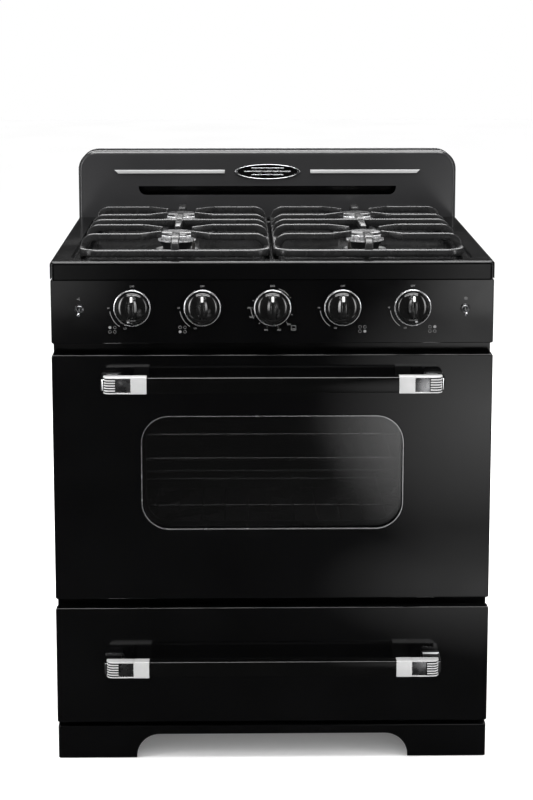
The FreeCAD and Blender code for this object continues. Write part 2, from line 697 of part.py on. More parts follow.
def burner_caps():
    """Enamelled caps that drop onto the heads."""
    caps = []
    z0 = HEAD_Z + HEAD_H
    for x, y, _ in BURNERS:
        cap = rod((x, y, z0), (x, y, z0 + CAP_H), CAP_R)
        cap = cap.makeFillet(2.8, edges_at(cap, "Z", z0 + CAP_H))
        caps.append(fuse([cap, rod((x, y, z0 - 4), (x, y, z0), HEAD_R - 10 - CLEAR)]))
    return caps


def spark_igniters():
    """Four ceramic electrodes and the spark module that feeds them."""
    pieces = []
    z = PAD_Z - 16
    for x, y, _ in BURNERS:
        ex, ey = electrode_spot(x, y)
        ceramic = rod((ex, ey, z), (ex, ey, z + ELECTRODE_H), ELECTRODE_R)
        tip = rod((ex, ey, z + ELECTRODE_H), (ex, ey, z + ELECTRODE_H + 4), 0.9)
        pieces.append(fuse([ceramic, tip]))
    module = rounded_block(-300, -225, 540, 600, KNOB_Z - 30, KNOB_Z - 2, Z_AXIS, 4.0)
    pieces.append(module)
    return pieces


def grate(side):
    """Cast grate over two burners; side is -1 on the left and 1 on the right."""
    z0 = WELL_Z + REST_CLEAR
    rail_z = RIM_Z + 1.0
    rail_top = rail_z + GRATE_RAIL_H
    top = RIM_Z + GRATE_TOP
    low = top - GRATE_BAR_H
    w = GRATE_RAIL_W
    outer = rounded_block(GRATE_IN, GRATE_OUT, GRATE_FRONT, GRATE_BACK, rail_z, rail_top,
                          Z_AXIS, GRATE_CORNER_R)
    inner = rounded_block(GRATE_IN + w, GRATE_OUT - w, GRATE_FRONT + w, GRATE_BACK - w,
                          rail_z - 1, rail_top + 1, Z_AXIS, GRATE_CORNER_R - w)
    outer = outer.makeFillet(3.0, edges_at(outer, "Z", rail_top))
    pieces = [outer.cut([inner])]
    feet = [(x, y) for x in (GRATE_IN + w / 2, GRATE_OUT - w / 2)
            for y in (GRATE_FRONT + 60, GRATE_BACK - 60)]
    pieces += [rod((x, y, z0), (x, y, rail_z + 2), GRATE_FOOT_R * 0.9) for x, y in feet]
    middle = (BURNER_FRONT_Y + BURNER_REAR_Y) / 2
    pieces.append(arched_bar(GRATE_IN + w / 2, GRATE_OUT - w / 2, middle, rail_z + 2, low, top))
    for burner_y in (BURNER_FRONT_Y, BURNER_REAR_Y):
        for dy in (-GRATE_FINGER_Y, GRATE_FINGER_Y):
            y = burner_y + dy
            tip = GRATE_FINGER_R * math.copysign(0.7, dy)
            for end, direction in ((GRATE_IN + w / 2, -1), (GRATE_OUT - w / 2, 1)):
                elbow = BURNER_X + direction * GRATE_ELBOW_X
                pieces.append(arched_bar(end, elbow, y, rail_z + 2, low, top))
                pieces.append(level_bar(elbow, y, BURNER_X + direction * GRATE_FINGER_R * 0.7,
                                        burner_y + tip, low, top, GRATE_BAR_W))
    pieces += [
        level_bar(BURNER_X, middle, BURNER_X, BURNER_FRONT_Y + GRATE_FINGER_R, low, top, GRATE_FINGER_W),
        level_bar(BURNER_X, middle, BURNER_X, BURNER_REAR_Y - GRATE_FINGER_R, low, top, GRATE_FINGER_W),
        arched_finger(GRATE_FRONT + w / 2, BURNER_FRONT_Y - GRATE_FINGER_R, rail_z + 2, low, top),
        arched_finger(GRATE_BACK - w / 2, BURNER_REAR_Y + GRATE_FINGER_R, rail_z + 2, low, top),
    ]
    casting = fuse(pieces)
    return casting if side > 0 else mirrored(casting)


def arch_outline(start, end, base, low, top):
    """Side view of a bar that leaves a rail at start and levels out towards end."""
    way = math.copysign(1.0, end - start)
    w = GRATE_BAR_W
    return [(start - way * w / 2, base), (start + way * w / 2, base),
            (start + way * 16, low), (end, low), (end, top),
            (start + way * 12, top), (start, top - 5), (start - way * w / 2, base + 9)]


def arched_bar(start, end, y, base, low, top):
    """Crossbar along X; a bar between two rails arches down at both ends."""
    half = GRATE_BAR_W / 2
    outline = arch_outline(start, end, base, low, top)
    if end > GRATE_OUT - GRATE_RAIL_W:
        middle = (start + end) / 2
        outline = arch_outline(start, middle, base, low, top)
        other = arch_outline(end, middle, base, low, top)
        left = prism([(x, y - half, z) for x, z in outline], Vector(0, 2 * half, 0))
        right = prism([(x, y - half, z) for x, z in other], Vector(0, 2 * half, 0))
        return left.fuse(right)
    return prism([(x, y - half, z) for x, z in outline], Vector(0, 2 * half, 0))


def arched_finger(start, end, base, low, top):
    """Fore-and-aft finger that rises from the front or rear rail towards a burner."""
    half = GRATE_FINGER_W / 2
    outline = arch_outline(start, end, base, low, top)
    return prism([(BURNER_X - half, y, z) for y, z in outline], Vector(2 * half, 0, 0))


def level_bar(x0, y0, x1, y1, low, top, width):
    """Straight bar between two places, at the grate's top level."""
    run = Vector(x1 - x0, y1 - y0, 0)
    side = Vector(-run.y, run.x, 0).normalize() * (width / 2)
    corners = [Vector(x0, y0, low) - side, Vector(x1, y1, low) - side * 0.7,
               Vector(x1, y1, low) + side * 0.7, Vector(x0, y0, low) + side]
    face = Part.Face(Part.makePolygon(corners + corners[:1]))
    bar = face.extrude(Vector(0, 0, top - low))
    return fuse([bar, rod((x0, y0, low), (x0, y0, top), width / 2)])


# ---------------------------------------------------------------- backguard
def backguard_shell():
    """Upright back with round top corners, a soft front rim and the flue slot."""
    half = WIDTH / 2
    y0 = BACKGUARD_Y
    z0 = LIP_Z + 2
    outer = box(-half, half, y0, COVER_Y, z0, TOP_Z)
    outer = outer.makeFillet(BACKGUARD_R, edges_along(outer, Y_AXIS, lambda mid: mid.z > TOP_Z - 1))
    rim = [edge for edge in edges_at(outer, "Y", y0) if edge.CenterOfMass.z > z0 + 1]
    outer = outer.makeFillet(BACKGUARD_EDGE, rim)
    hollows = []
    for inset, start in ((BACKGUARD_EDGE, y0 + SHEET), (SHEET, y0 + BACKGUARD_EDGE)):
        hollow = box(-half + inset, half - inset, start, COVER_Y + 1, z0 - 5, TOP_Z - inset)
        hollows.append(hollow.makeFillet(BACKGUARD_R - inset,
                                         edges_along(hollow, Y_AXIS, lambda mid: mid.z > TOP_Z - 30)))
    slot_z = RIM_Z + SLOT_RISE
    slot = box(-SLOT_W / 2, SLOT_W / 2, y0 - 1, y0 + SHEET + 1, slot_z - SLOT_H / 2, slot_z + SLOT_H / 2)
    slot = slot.makeFillet(SLOT_R, edges_along(slot, Y_AXIS, lambda mid: mid.z < slot_z))
    return outer.cut(hollows + [slot])


def backguard_rear_cover():
    """Flat cover on the back of the backguard, with vent slots along its top."""
    half = WIDTH / 2
    z0 = LIP_Z + 2
    cover = box(-half, half, COVER_Y, BODY_DEPTH, z0, TOP_Z)
    cover = cover.makeFillet(BACKGUARD_R, edges_along(cover, Y_AXIS, lambda mid: mid.z > TOP_Z - 1))
    slots = []
    for i in range(-4, 5):
        x = 64.0 * i
        slots.append(rounded_block(x - 22, x + 22, COVER_Y - 1, BODY_DEPTH + 1, TOP_Z - 34, TOP_Z - 28,
                                   Y_AXIS, 2.9))
    return cover.cut(slots)


def trim_strips():
    """Two bright strips with slanted outer ends."""
    z = RIM_Z + STRIP_RISE
    h = STRIP_H / 2
    y = BACKGUARD_Y
    outline = [(STRIP_IN, y, z - h), (STRIP_OUT - STRIP_H, y, z - h), (STRIP_OUT, y, z + h),
               (STRIP_IN, y, z + h)]
    strip = prism(outline, Vector(0, -STRIP_T, 0))
    strip = strip.makeFillet(0.7, edges_at(strip, "Y", y - STRIP_T))
    return both_sides(strip)


def badge_ornament():
    """Plain oval ornament with three raised bars."""
    z = RIM_Z + STRIP_RISE
    y = BACKGUARD_Y
    oval = Part.Ellipse(Vector(0, y, z), BADGE_W / 2, BADGE_H / 2)
    outline = Part.Wire(oval.toShape())
    outline.rotate(Vector(0, y, z), X_AXIS, 90)
    plate = Part.Face(outline).extrude(Vector(0, -BADGE_T * 0.5, 0))
    bars = []
    for dz, half in ((-7.0, 34.0), (0.0, 50.0), (7.0, 34.0)):
        bar = rounded_block(-half, half, y - BADGE_T, y - BADGE_T * 0.4, z + dz - 1.8, z + dz + 1.8,
                            Y_AXIS, 1.7)
        bars.append(bar)
    return fuse([plate] + bars)


# ---------------------------------------------------------------- control panel
def control_panel():
    """Front panel with five stem holes and two switch holes."""
    y0 = PANEL_SETBACK
    panel = front_pan(-FACE_HALF, FACE_HALF, y0, FRAME_Y, PANEL_Z, PANEL_TOP, 3.5, 2.0)
    holes = [rod((x, y0 - 1, KNOB_Z), (x, y0 + 3, KNOB_Z), STEM_HOLE_R) for x in KNOB_XS]
    holes += [rod((x, y0 - 1, SWITCH_Z), (x, y0 + 3, SWITCH_Z), SWITCH_BUSH_R + CLEAR)
              for x in (-SWITCH_X, SWITCH_X)]
    return panel.cut(holes)


def knob_bezels():
    """Bright rings fixed to the panel around the knobs."""
    y0 = PANEL_SETBACK
    rings = []
    for x in KNOB_XS:
        ring = rod((x, y0 - BEZEL_H, KNOB_Z), (x, y0, KNOB_Z), BEZEL_R)
        ring = ring.cut([rod((x, y0 - BEZEL_H - 1, KNOB_Z), (x, y0 + 1, KNOB_Z), BEZEL_R - BEZEL_WALL)])
        rings.append(ring.makeFillet(1.0, edges_at(ring, "Y", y0 - BEZEL_H)))
    return rings


def knob(x):
    """Domed knob with a ribbed grip bar and a blind bore for its stem."""
    back = KNOB_BACK
    rise = KNOB_DOME - KNOB_SKIRT
    dome_r = (KNOB_R ** 2 + rise ** 2) / (2 * rise)
    centre_y = back - KNOB_DOME + dome_r
    ball = Part.makeSphere(dome_r, Vector(x, centre_y, KNOB_Z))
    body = rod((x, back - KNOB_DOME - 1, KNOB_Z), (x, back, KNOB_Z), KNOB_R).common(ball)
    grip = Part.Face(upright_oval(x, back - 1)).extrude(Vector(0, 1 - GRIP_H, 0))
    crown_y = back - GRIP_H + GRIP_CROWN_R
    crown = rod((x - 30, crown_y, KNOB_Z), (x + 30, crown_y, KNOB_Z), GRIP_CROWN_R)
    grip = grip.common(crown)
    grooves = []
    for dx in (-GRIP_GROOVE_X, GRIP_GROOVE_X):
        groove_r = GRIP_CROWN_R - GRIP_GROOVE_DEPTH
        slab = box(x + dx - GRIP_GROOVE_W / 2, x + dx + GRIP_GROOVE_W / 2,
                   back - GRIP_H - 1, back - KNOB_DOME, KNOB_Z - GRIP_L, KNOB_Z + GRIP_L * 0.24)
        floor = rod((x - 30, crown_y, KNOB_Z), (x + 30, crown_y, KNOB_Z), groove_r)
        grooves.append(slab.cut([floor]))
    bore = rod((x, back - 10, KNOB_Z), (x, back + 1, KNOB_Z), STEM_R + RUN)
    return fuse([body, grip]).cut(grooves + [bore])


def upright_oval(x, y):
    """Closed oval outline of the grip, in the plane of the panel, longer upwards."""
    a = GRIP_W / 2
    b = GRIP_L / 2
    top = Vector(x, y, KNOB_Z + b)
    bottom = Vector(x, y, KNOB_Z - b)
    sides = []
    for way in (1, -1):
        sides.append(Part.Arc(top, Vector(x + way * a, y, KNOB_Z), bottom).toShape())
    return Part.Wire(sides)


def valve_stem(x):
    """Stem that the knob turns on, with the collar its return spring pushes."""
    stem = rod((x, KNOB_BACK - 8, KNOB_Z), (x, VALVE_Y + 4, KNOB_Z), STEM_R)
    collar = rod((x, VALVE_Y - 17, KNOB_Z), (x, VALVE_Y - 14, KNOB_Z), STEM_COLLAR_R)
    return fuse([stem, collar])


def valve_body(x, width, height):
    """Valve or thermostat body with its stem collar, bore and nipple into the manifold."""
    y0 = VALVE_Y
    y1 = VALVE_Y + VALVE_T
    body = box(x - width / 2, x + width / 2, y0, y1, KNOB_Z - height / 2, KNOB_Z + height / 2)
    body = body.makeFillet(2.0, edges_along(body, Y_AXIS))
    collar = rod((x, y0 - 6, KNOB_Z), (x, y0, KNOB_Z), VALVE_COLLAR_R)
    nipple = rod((x, y1, KNOB_Z), (x, PIPE_Y - PIPE_BORE_R + 1, KNOB_Z), 6.0)
    bore = rod((x, y0 - 7, KNOB_Z), (x, y0 + 12, KNOB_Z), STEM_R + RUN)
    return fuse([body, collar, nipple]).cut([bore])


def burner_valves():
    """Four brass valves, each with an outlet for its tube on top."""
    valves = []
    for x in KNOB_XS:
        if x == 0:
            continue
        z = KNOB_Z + VALVE_H / 2
        outlet = rod((x, 60, z - 1), (x, 60, z + 8), 6.0)
        valves.append(fuse([valve_body(x, VALVE_W, VALVE_H), outlet]))
    return valves


def oven_thermostat():
    """Oven control behind the middle knob, with its capillary and sensing bulb."""
    body = valve_body(0, THERMOSTAT_W, THERMOSTAT_H)
    under = KNOB_Z - THERMOSTAT_H / 2
    bulb = rod((-100, BULB_Y, BULB_Z), (140, BULB_Y, BULB_Z), 3.5)
    capillary = bent_tube([(140, BULB_Y, BULB_Z), (CAPILLARY_X, BULB_Y, BULB_Z),
                           (CAPILLARY_X, BULB_Y, under - 5), (CAPILLARY_X, 55, under - 5),
                           (25, 55, under - 5), (25, 55, under)], CAPILLARY_R, 4.0)
    return [body, fuse([bulb, capillary])]


def gas_manifold():
    """Pipe behind the valves, led back to the pressure regulator with the threaded inlet."""
    reg_y = REAR_Y - 46
    neck = reg_y - 36
    path = [(-300, PIPE_Y, KNOB_Z), (PIPE_X, PIPE_Y, KNOB_Z), (PIPE_X, neck, KNOB_Z)]
    pipe = bent_tube(path, PIPE_R, 30.0)
    bore_path = [(-295, PIPE_Y, KNOB_Z), (PIPE_X, PIPE_Y, KNOB_Z), (PIPE_X, neck + 1, KNOB_Z)]
    ports = [rod((x, PIPE_Y - 20, KNOB_Z), (x, PIPE_Y, KNOB_Z), 6.0) for x in KNOB_XS]
    pipe = pipe.cut([bent_tube(bore_path, PIPE_BORE_R, 30.0)] + ports)
    bowl = rod((PIPE_X, reg_y, KNOB_Z - 24), (PIPE_X, reg_y, KNOB_Z + 20), 28.0)
    bowl = bowl.makeFillet(4.0, edges_at(bowl, "Z", KNOB_Z + 20))
    front = rod((PIPE_X, neck, KNOB_Z), (PIPE_X, reg_y, KNOB_Z), 14.0)
    boss = rod((PIPE_X, reg_y, KNOB_Z), (PIPE_X, BODY_DEPTH - 3, KNOB_Z), BOSS_R)
    inlet = rod((PIPE_X, BODY_DEPTH - 3 - INLET_L, KNOB_Z), (PIPE_X, BODY_DEPTH, KNOB_Z), INLET_R)
    regulator = fuse([bowl, front, boss]).cut([inlet])
    return [pipe, regulator]


def gas_tubes():
    """Aluminium tubes from the valves to the burners, and two from the oven control."""
    tubes = []
    z0 = KNOB_Z + VALVE_H / 2 + 8
    z1 = z0 + 12
    cup = PAD_Z - CUP_H
    routes = [(KNOB_XS[0], BURNERS[1]), (KNOB_XS[1], BURNERS[0]),
              (KNOB_XS[3], BURNERS[2]), (KNOB_XS[4], BURNERS[3])]
    for x, (bx, by, _) in routes:
        tubes.append(bent_tube([(x, 60, z0), (x, 60, z1), (x, by, z1), (bx, by, z1), (bx, by, cup)],
                               TUBE_R, TUBE_BEND))
    under = KNOB_Z - THERMOSTAT_H / 2
    drop_y = OVEN_BACK + INSULATION_T + 30
    feed_y = OVEN_BACK + INSULATION_T + 5
    for x0, x1, level, end_z in ((-20, -BROIL_X, under - 18, BROIL_Z), (20, -BAKE_X, under - 30, BAKE_Z)):
        tubes.append(bent_tube([(x0, 60, under), (x0, 60, level), (x1, 60, level), (x1, drop_y, level),
                                (x1, drop_y, end_z), (x1, feed_y, end_z)], TUBE_R, TUBE_BEND))
    return tubes


def switch_bodies():
    """Two toggle switches: the body behind the panel, the bush and its round nut."""
    made = []
    y0 = PANEL_SETBACK
    z = SWITCH_Z
    for x in (-SWITCH_X, SWITCH_X):
        body = box(x - 8, x + 8, y0 + 6, y0 + 24, z - 14, z + 14)
        bush = rod((x, y0 - 4.5, z), (x, y0 + 7, z), SWITCH_BUSH_R)
        nut = rod((x, y0 - 3, z), (x, y0, z), SWITCH_NUT_R)
        nut = nut.makeFillet(0.8, edges_at(nut, "Y", y0 - 3))
        bore = rod((x, y0 - 6, z), (x, y0 + 10, z), SWITCH_BORE_R)
        made.append(fuse([body, bush, nut]).cut([bore]))
    return made


def toggle_lever(x):
    """Bat-shaped lever that pivots inside the switch bush, resting tilted down."""
    y = SWITCH_PIVOT_Y
    ball = Part.makeSphere(3.0, Vector(x, y, SWITCH_Z))
    bat = Part.makeCone(1.3, 2.4, LEVER_L, Vector(x, y, SWITCH_Z), Vector(0, -1, 0))
    tip = Part.makeSphere(LEVER_TIP_R, Vector(x, y - LEVER_L, SWITCH_Z))
    lever = fuse([ball, bat, tip])
    lever.rotate(Vector(x, y, SWITCH_Z), X_AXIS, LEVER_TILT)
    return lever


def cord_gland():
    """Bush in the back panel for a power cord."""
    y0 = REAR_Y - GLAND_L + 5
    x = -PIPE_X
    body = rod((x, y0, KNOB_Z), (x, y0 + GLAND_L, KNOB_Z), GLAND_BODY_R)
    flange = rod((x, REAR_Y + SHEET, KNOB_Z), (x, y0 + GLAND_L, KNOB_Z), 12.0)
    bore = rod((x, y0 - 1, KNOB_Z), (x, y0 + GLAND_L + 1, KNOB_Z), GLAND_R)
    return fuse([body, flange]).cut([bore])


# ---------------------------------------------------------------- door
def window_block(y0, y1, grow):
    """Rounded block of the window's outline, grown by a margin."""
    return rounded_block(-WINDOW_W / 2 - grow, WINDOW_W / 2 + grow, y0, y1,
                         WINDOW_Z - grow, WINDOW_Z + WINDOW_H + grow, Y_AXIS, WINDOW_R + grow)


def hinge_notches():
    """Room in the door's lower corners for the fixed hinge arms."""
    reach = HINGE_ARM_T / 2 + 4
    notch = box(HINGE_X - reach, HINGE_X + reach, HINGE_Y - 12, DOOR_T + 1, DOOR_Z - 1, HINGE_Z + 8)
    return both_sides(notch)


def door_skin():
    """Outer pan of the door with a recessed window frame."""
    pan = front_pan(-FACE_HALF, FACE_HALF, 0, DOOR_T, DOOR_Z, DOOR_TOP, 3.5, 2.0)
    collar = window_block(SHEET, WINDOW_RECESS, SHEET)
    opening = window_block(-1, WINDOW_RECESS + 1, 0)
    skin = fuse([pan, collar]).cut([opening] + hinge_notches())
    rim = [edge for edge in edges_at(skin, "Y", 0) if window_edge(edge)]
    return skin.makeFillet(1.2, rim)


def window_edge(edge):
    """True for an edge of the window opening rather than of the pan."""
    mid = edge.CenterOfMass
    return abs(mid.x) < WINDOW_W / 2 + 1 and WINDOW_Z - 1 < mid.z < WINDOW_Z + WINDOW_H + 1


def door_inner_panel():
    """Flat inner sheet of the door with its own window opening and glass seat."""
    inset = SHEET + CLEAR
    y0 = DOOR_T - SHEET
    sheet = box(-FACE_HALF + inset, FACE_HALF - inset, y0, DOOR_T, DOOR_Z + inset, DOOR_TOP - inset)
    sheet = sheet.makeFillet(2.0, edges_along(sheet, Y_AXIS))
    seat = window_block(y0 - 3, y0, -8 + SHEET)
    opening = window_block(y0 - 4, DOOR_T + 1, -8)
    return fuse([sheet, seat]).cut([opening] + hinge_notches())


def window_glass():
    """Outer and inner panes."""
    outer = window_block(WINDOW_RECESS, WINDOW_RECESS + GLASS_T, WINDOW_LAP)
    inner_y = DOOR_T - SHEET - 3
    inner = window_block(inner_y - GLASS_T, inner_y, WINDOW_LAP - 8)
    return [outer, inner]


def door_gasket():
    """Rope seal around the oven opening."""
    out = GASKET_OUT
    y0 = DOOR_T
    ring = rounded_block(-OVEN_HALF - out, OVEN_HALF + out, y0, y0 + GASKET_T,
                         OVEN_Z - out, OVEN_TOP + out, Y_AXIS, 20.0)
    ring = ring.makeFillet(1.2, edges_at(ring, "Y", y0 + GASKET_T))
    way = out - GASKET_W
    hole = rounded_block(-OVEN_HALF - way, OVEN_HALF + way, y0 - 1, y0 + GASKET_T + 1,
                         OVEN_Z - way, OVEN_TOP + way, Y_AXIS, 20.0 - GASKET_W)
    return ring.cut([hole])


def door_hinge_pins():
    """Pins at the door's lower corners, each held in a two-eared bracket."""
    half = HINGE_ARM_T / 2 + HINGE_EAR_GAP
    ears = []
    for start in (HINGE_X - half - HINGE_EAR_T, HINGE_X + half):
        ears.append(box(start, start + HINGE_EAR_T, SHEET, DOOR_T - 2.5, DOOR_Z + 2, HINGE_Z + 28))
    web = box(HINGE_X - half, HINGE_X + half, SHEET, SHEET + 2, DOOR_Z + 20, HINGE_Z + 28)
    out = half + HINGE_EAR_T
    pin = rod((HINGE_X - out, HINGE_Y, HINGE_Z), (HINGE_X + out, HINGE_Y, HINGE_Z), HINGE_PIN_R)
    return both_sides(fuse(ears + [web, pin]))


def door_hinges():
    """Fixed hinge arms that reach out of the frame and carry the door's pins."""
    x0 = HINGE_X - HINGE_ARM_T / 2
    x1 = HINGE_X + HINGE_ARM_T / 2
    h = HINGE_ARM_H / 2
    arm = box(x0, x1, HINGE_Y, FRAME_BACK + 54, HINGE_Z - h, HINGE_Z + h)
    eye = rod((x0, HINGE_Y, HINGE_Z), (x1, HINGE_Y, HINGE_Z), HINGE_EYE_R)
    bore = rod((x0 - 1, HINGE_Y, HINGE_Z), (x1 + 1, HINGE_Y, HINGE_Z), HINGE_PIN_R + RUN)
    receiver = box(x1, x1 + 3, FRAME_BACK, FRAME_BACK + 74, HINGE_Z - 14, HINGE_Z + 22)
    return both_sides(fuse([arm, eye, receiver]).cut([bore]))


# ---------------------------------------------------------------- handles
def handle_end(face_y, z):
    """Right-hand bright end of a handle: sleeve, fluted outer corner and post."""
    x1 = HANDLE_LENGTH / 2
    x0 = x1 - HANDLE_END_L
    cap = x1 - HANDLE_CAP_INSET
    y0 = face_y - HANDLE_PROUD
    y1 = y0 + HANDLE_T
    h = HANDLE_H / 2
    sleeve = end_block(x0, cap, y0, y1, z - h, z + h, 0)
    core = end_block(x0 - 1, cap, y0, y1, z - h - 1, z + h + 1, FLUTE_DEPTH)
    groove_skin = end_block(cap - FLUTE_L, cap + 1, y0 - 1, y1 + 1, z - h, z + h, 0).cut([core])
    pitch = HANDLE_H / (HANDLE_FLUTES + 1)
    slabs = []
    for i in range(HANDLE_FLUTES):
        mid = z - h + pitch * (i + 1)
        slab = box(cap - FLUTE_L, cap + 2, y0 - 2, y1 + 2, mid - FLUTE_W / 2, mid + FLUTE_W / 2)
        slabs.append(groove_skin.common(slab))
    inner = h - HANDLE_SLEEVE
    socket = box(x0 - 1, x0 + HANDLE_LAP, y0 + HANDLE_SLEEVE, y1 - HANDLE_SLEEVE, z - inner, z + inner)
    post_y = y1 - HANDLE_POST_LAP
    post = box(x1 - HANDLE_POST_L, x1, post_y, face_y, z - HANDLE_POST_H / 2, z + HANDLE_POST_H / 2)
    corner = edges_along(post, Z_AXIS, lambda mid: mid.x > x1 - 0.1 and mid.y < post_y + 0.1)
    post = post.makeFillet(HANDLE_POST_R, corner)
    return fuse([sleeve.cut(slabs + [socket]), post])


def end_block(x0, x1, y0, y1, z0, z1, inset):
    """Block of a handle end with its outer front corner rounded, set in by an inset."""
    block = box(x0, x1 - inset, y0 + inset, y1, z0, z1)
    corner = edges_along(block, Z_AXIS, lambda mid: mid.x > x1 - inset - 0.1 and mid.y < y0 + inset + 0.1)
    return block.makeFillet(HANDLE_CORNER_R - inset, corner)


def handle_bar(face_y, z):
    """Black bar between the two bright ends."""
    x = HANDLE_LENGTH / 2 - HANDLE_END_L + HANDLE_LAP
    y0 = face_y - HANDLE_PROUD + HANDLE_SLEEVE
    h = HANDLE_H / 2 - HANDLE_SLEEVE
    bar = box(-x, x, y0, y0 + HANDLE_T - 2 * HANDLE_SLEEVE, z - h, z + h)
    return bar.makeFillet(2.5, edges_along(bar, X_AXIS))


# ---------------------------------------------------------------- drawer
def drawer_front():
    """Outer pan of the drawer."""
    return front_pan(-FACE_HALF, FACE_HALF, DRAWER_Y, DRAWER_BOX_Y, DRAWER_Z, DRAWER_TOP, 3.5, 2.0)


def drawer_box():
    """Open-topped steel box with a runner on each side."""
    half = DRAWER_BOX_W / 2
    y0 = DRAWER_BOX_Y
    y1 = y0 + DRAWER_BOX_D
    z0 = DRAWER_BOX_Z
    z1 = z0 + DRAWER_BOX_H
    t = SHEET
    outer = box(-half, half, y0, y1, z0, z1)
    hollow = box(-half + t, half - t, y0 + t, y1 - t, z0 + t, z1 + 1)
    runner = box(half, half + RUNNER_W, FRAME_BACK + 6, y1 - 4, RUNNER_Z, RUNNER_Z + RUNNER_H)
    return fuse([outer.cut([hollow])] + both_sides(runner))


def drawer_rails():
    """Fixed channels that the drawer's runners slide in."""
    t = RAIL_SHEET
    inner = DRAWER_BOX_W / 2 + 2
    web = DRAWER_BOX_W / 2 + RUNNER_W + RAIL_CLEAR
    z0 = RUNNER_Z - RAIL_CLEAR - t
    z1 = RUNNER_Z + RUNNER_H + RAIL_CLEAR + t
    channel = box(inner, web + t, FRAME_BACK, REAR_Y - FRAME_SHEET, z0, z1)
    way = box(inner - 1, web, FRAME_BACK - 1, REAR_Y, z0 + t, z1 - t)
    return both_sides(channel.cut([way]))


# ---------------------------------------------------------------- assembly
def assembly():
    """Every node of the range, by name."""
    right_panel = side_panel()
    door_end = handle_end(0, DOOR_HANDLE_Z)
    drawer_end = handle_end(DRAWER_Y, DRAWER_HANDLE_Z)
    nodes = {
        "base_plinth": base_plinth(),
        "leveling_feet": leveling_feet(),
        "chassis_frame": chassis_frame(),
        "side_panel_left": mirrored(right_panel),
        "side_panel_right": right_panel,
        "back_panel": back_panel(),
        "case_screws": case_screws(),
        "oven_liner": oven_liner(),
        "insulation": insulation(),
        "oven_floor_plate": oven_floor_plate(),
        "bake_burner": oven_burner(BAKE_X, BAKE_Z, OVEN_BACK - 30),
        "broil_burner": oven_burner(BROIL_X, BROIL_Z, OVEN_BACK - 40),
        "rack_guides": rack_guides(),
        "oven_lamp": oven_lamp(),
        "flue_duct": flue_duct(),
        "cooktop": cooktop(),
        "burner_bases": burner_bases(),
        "burner_heads": burner_heads(),
        "burner_caps": burner_caps(),
        "spark_igniters": spark_igniters(),
        "backguard_shell": backguard_shell(),
        "backguard_rear_cover": backguard_rear_cover(),
        "backguard_trim": trim_strips() + [badge_ornament()],
        "control_panel": control_panel(),
        "knob_bezels": knob_bezels(),
        "burner_valves": burner_valves(),
        "oven_thermostat": oven_thermostat(),
        "gas_manifold": gas_manifold(),
        "gas_tubes": gas_tubes(),
        "switch_bodies": switch_bodies(),
        "cord_gland": cord_gland(),
        "drawer_rails": drawer_rails(),
        "door_hinges": door_hinges(),
        "door_skin": door_skin(),
        "door_inner_panel": door_inner_panel(),
        "window_glass": window_glass(),
        "door_gasket": door_gasket(),
        "door_hinge_pins": door_hinge_pins(),
        "door_handle_bar": handle_bar(0, DOOR_HANDLE_Z),
        "door_handle_ends": both_sides(door_end),
        "drawer_front": drawer_front(),
        "drawer_box": drawer_box(),
        "drawer_handle_bar": handle_bar(DRAWER_Y, DRAWER_HANDLE_Z),
        "drawer_handle_ends": both_sides(drawer_end),
        "toggle_left": toggle_lever(-SWITCH_X),
        "toggle_right": toggle_lever(SWITCH_X),
        "grate_left": grate(-1),
        "grate_right": grate(1),
    }
    for i, x in enumerate(KNOB_XS):
        nodes["knob_%d" % (i + 1)] = knob(x)
        nodes["valve_stem_%d" % (i + 1)] = valve_stem(x)
    for i, z in enumerate(RACK_ZS):
        nodes["oven_rack_%d" % (i + 1)] = oven_rack(z)
    return nodes


def place(shape):
    """The shape, or group of shapes, moved to the part's own frame."""
    if isinstance(shape, list):
        shape = Part.makeCompound(shape)
    return shape.translated(Vector(0, Y_SHIFT, 0))


def main():
    os.makedirs("parts", exist_ok=True)
    for name, shape in assembly().items():
        place(shape).exportStep(os.path.join("parts", name + ".step"))


main()
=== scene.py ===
"""Finishes and detailed pieces for the freestanding gas range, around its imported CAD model.

Lengths are metres, in the model's own frame: +X to the right, +Y to the wall, +Z up.
"""
import bmesh
import bpy
import json
import math
from bpy.props import FloatProperty, FloatVectorProperty, IntProperty, PointerProperty
from mathutils import Matrix, Vector


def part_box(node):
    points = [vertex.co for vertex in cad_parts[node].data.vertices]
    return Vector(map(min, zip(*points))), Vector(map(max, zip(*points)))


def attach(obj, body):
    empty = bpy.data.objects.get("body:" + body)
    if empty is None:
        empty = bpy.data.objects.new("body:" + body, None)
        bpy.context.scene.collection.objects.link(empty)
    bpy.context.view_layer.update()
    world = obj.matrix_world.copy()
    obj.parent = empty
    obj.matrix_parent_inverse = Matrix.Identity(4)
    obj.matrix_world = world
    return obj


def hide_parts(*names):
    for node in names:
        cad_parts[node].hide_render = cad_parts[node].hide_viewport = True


bl_info = {
    "name": "Gas range pieces",
    "version": (1, 0, 0),
    "blender": (4, 5, 0),
    "location": "View3D > Sidebar > Gas range",
    "description": "Builds the visible pieces, finishes and studio of a freestanding gas range",
    "category": "Add Mesh",
}

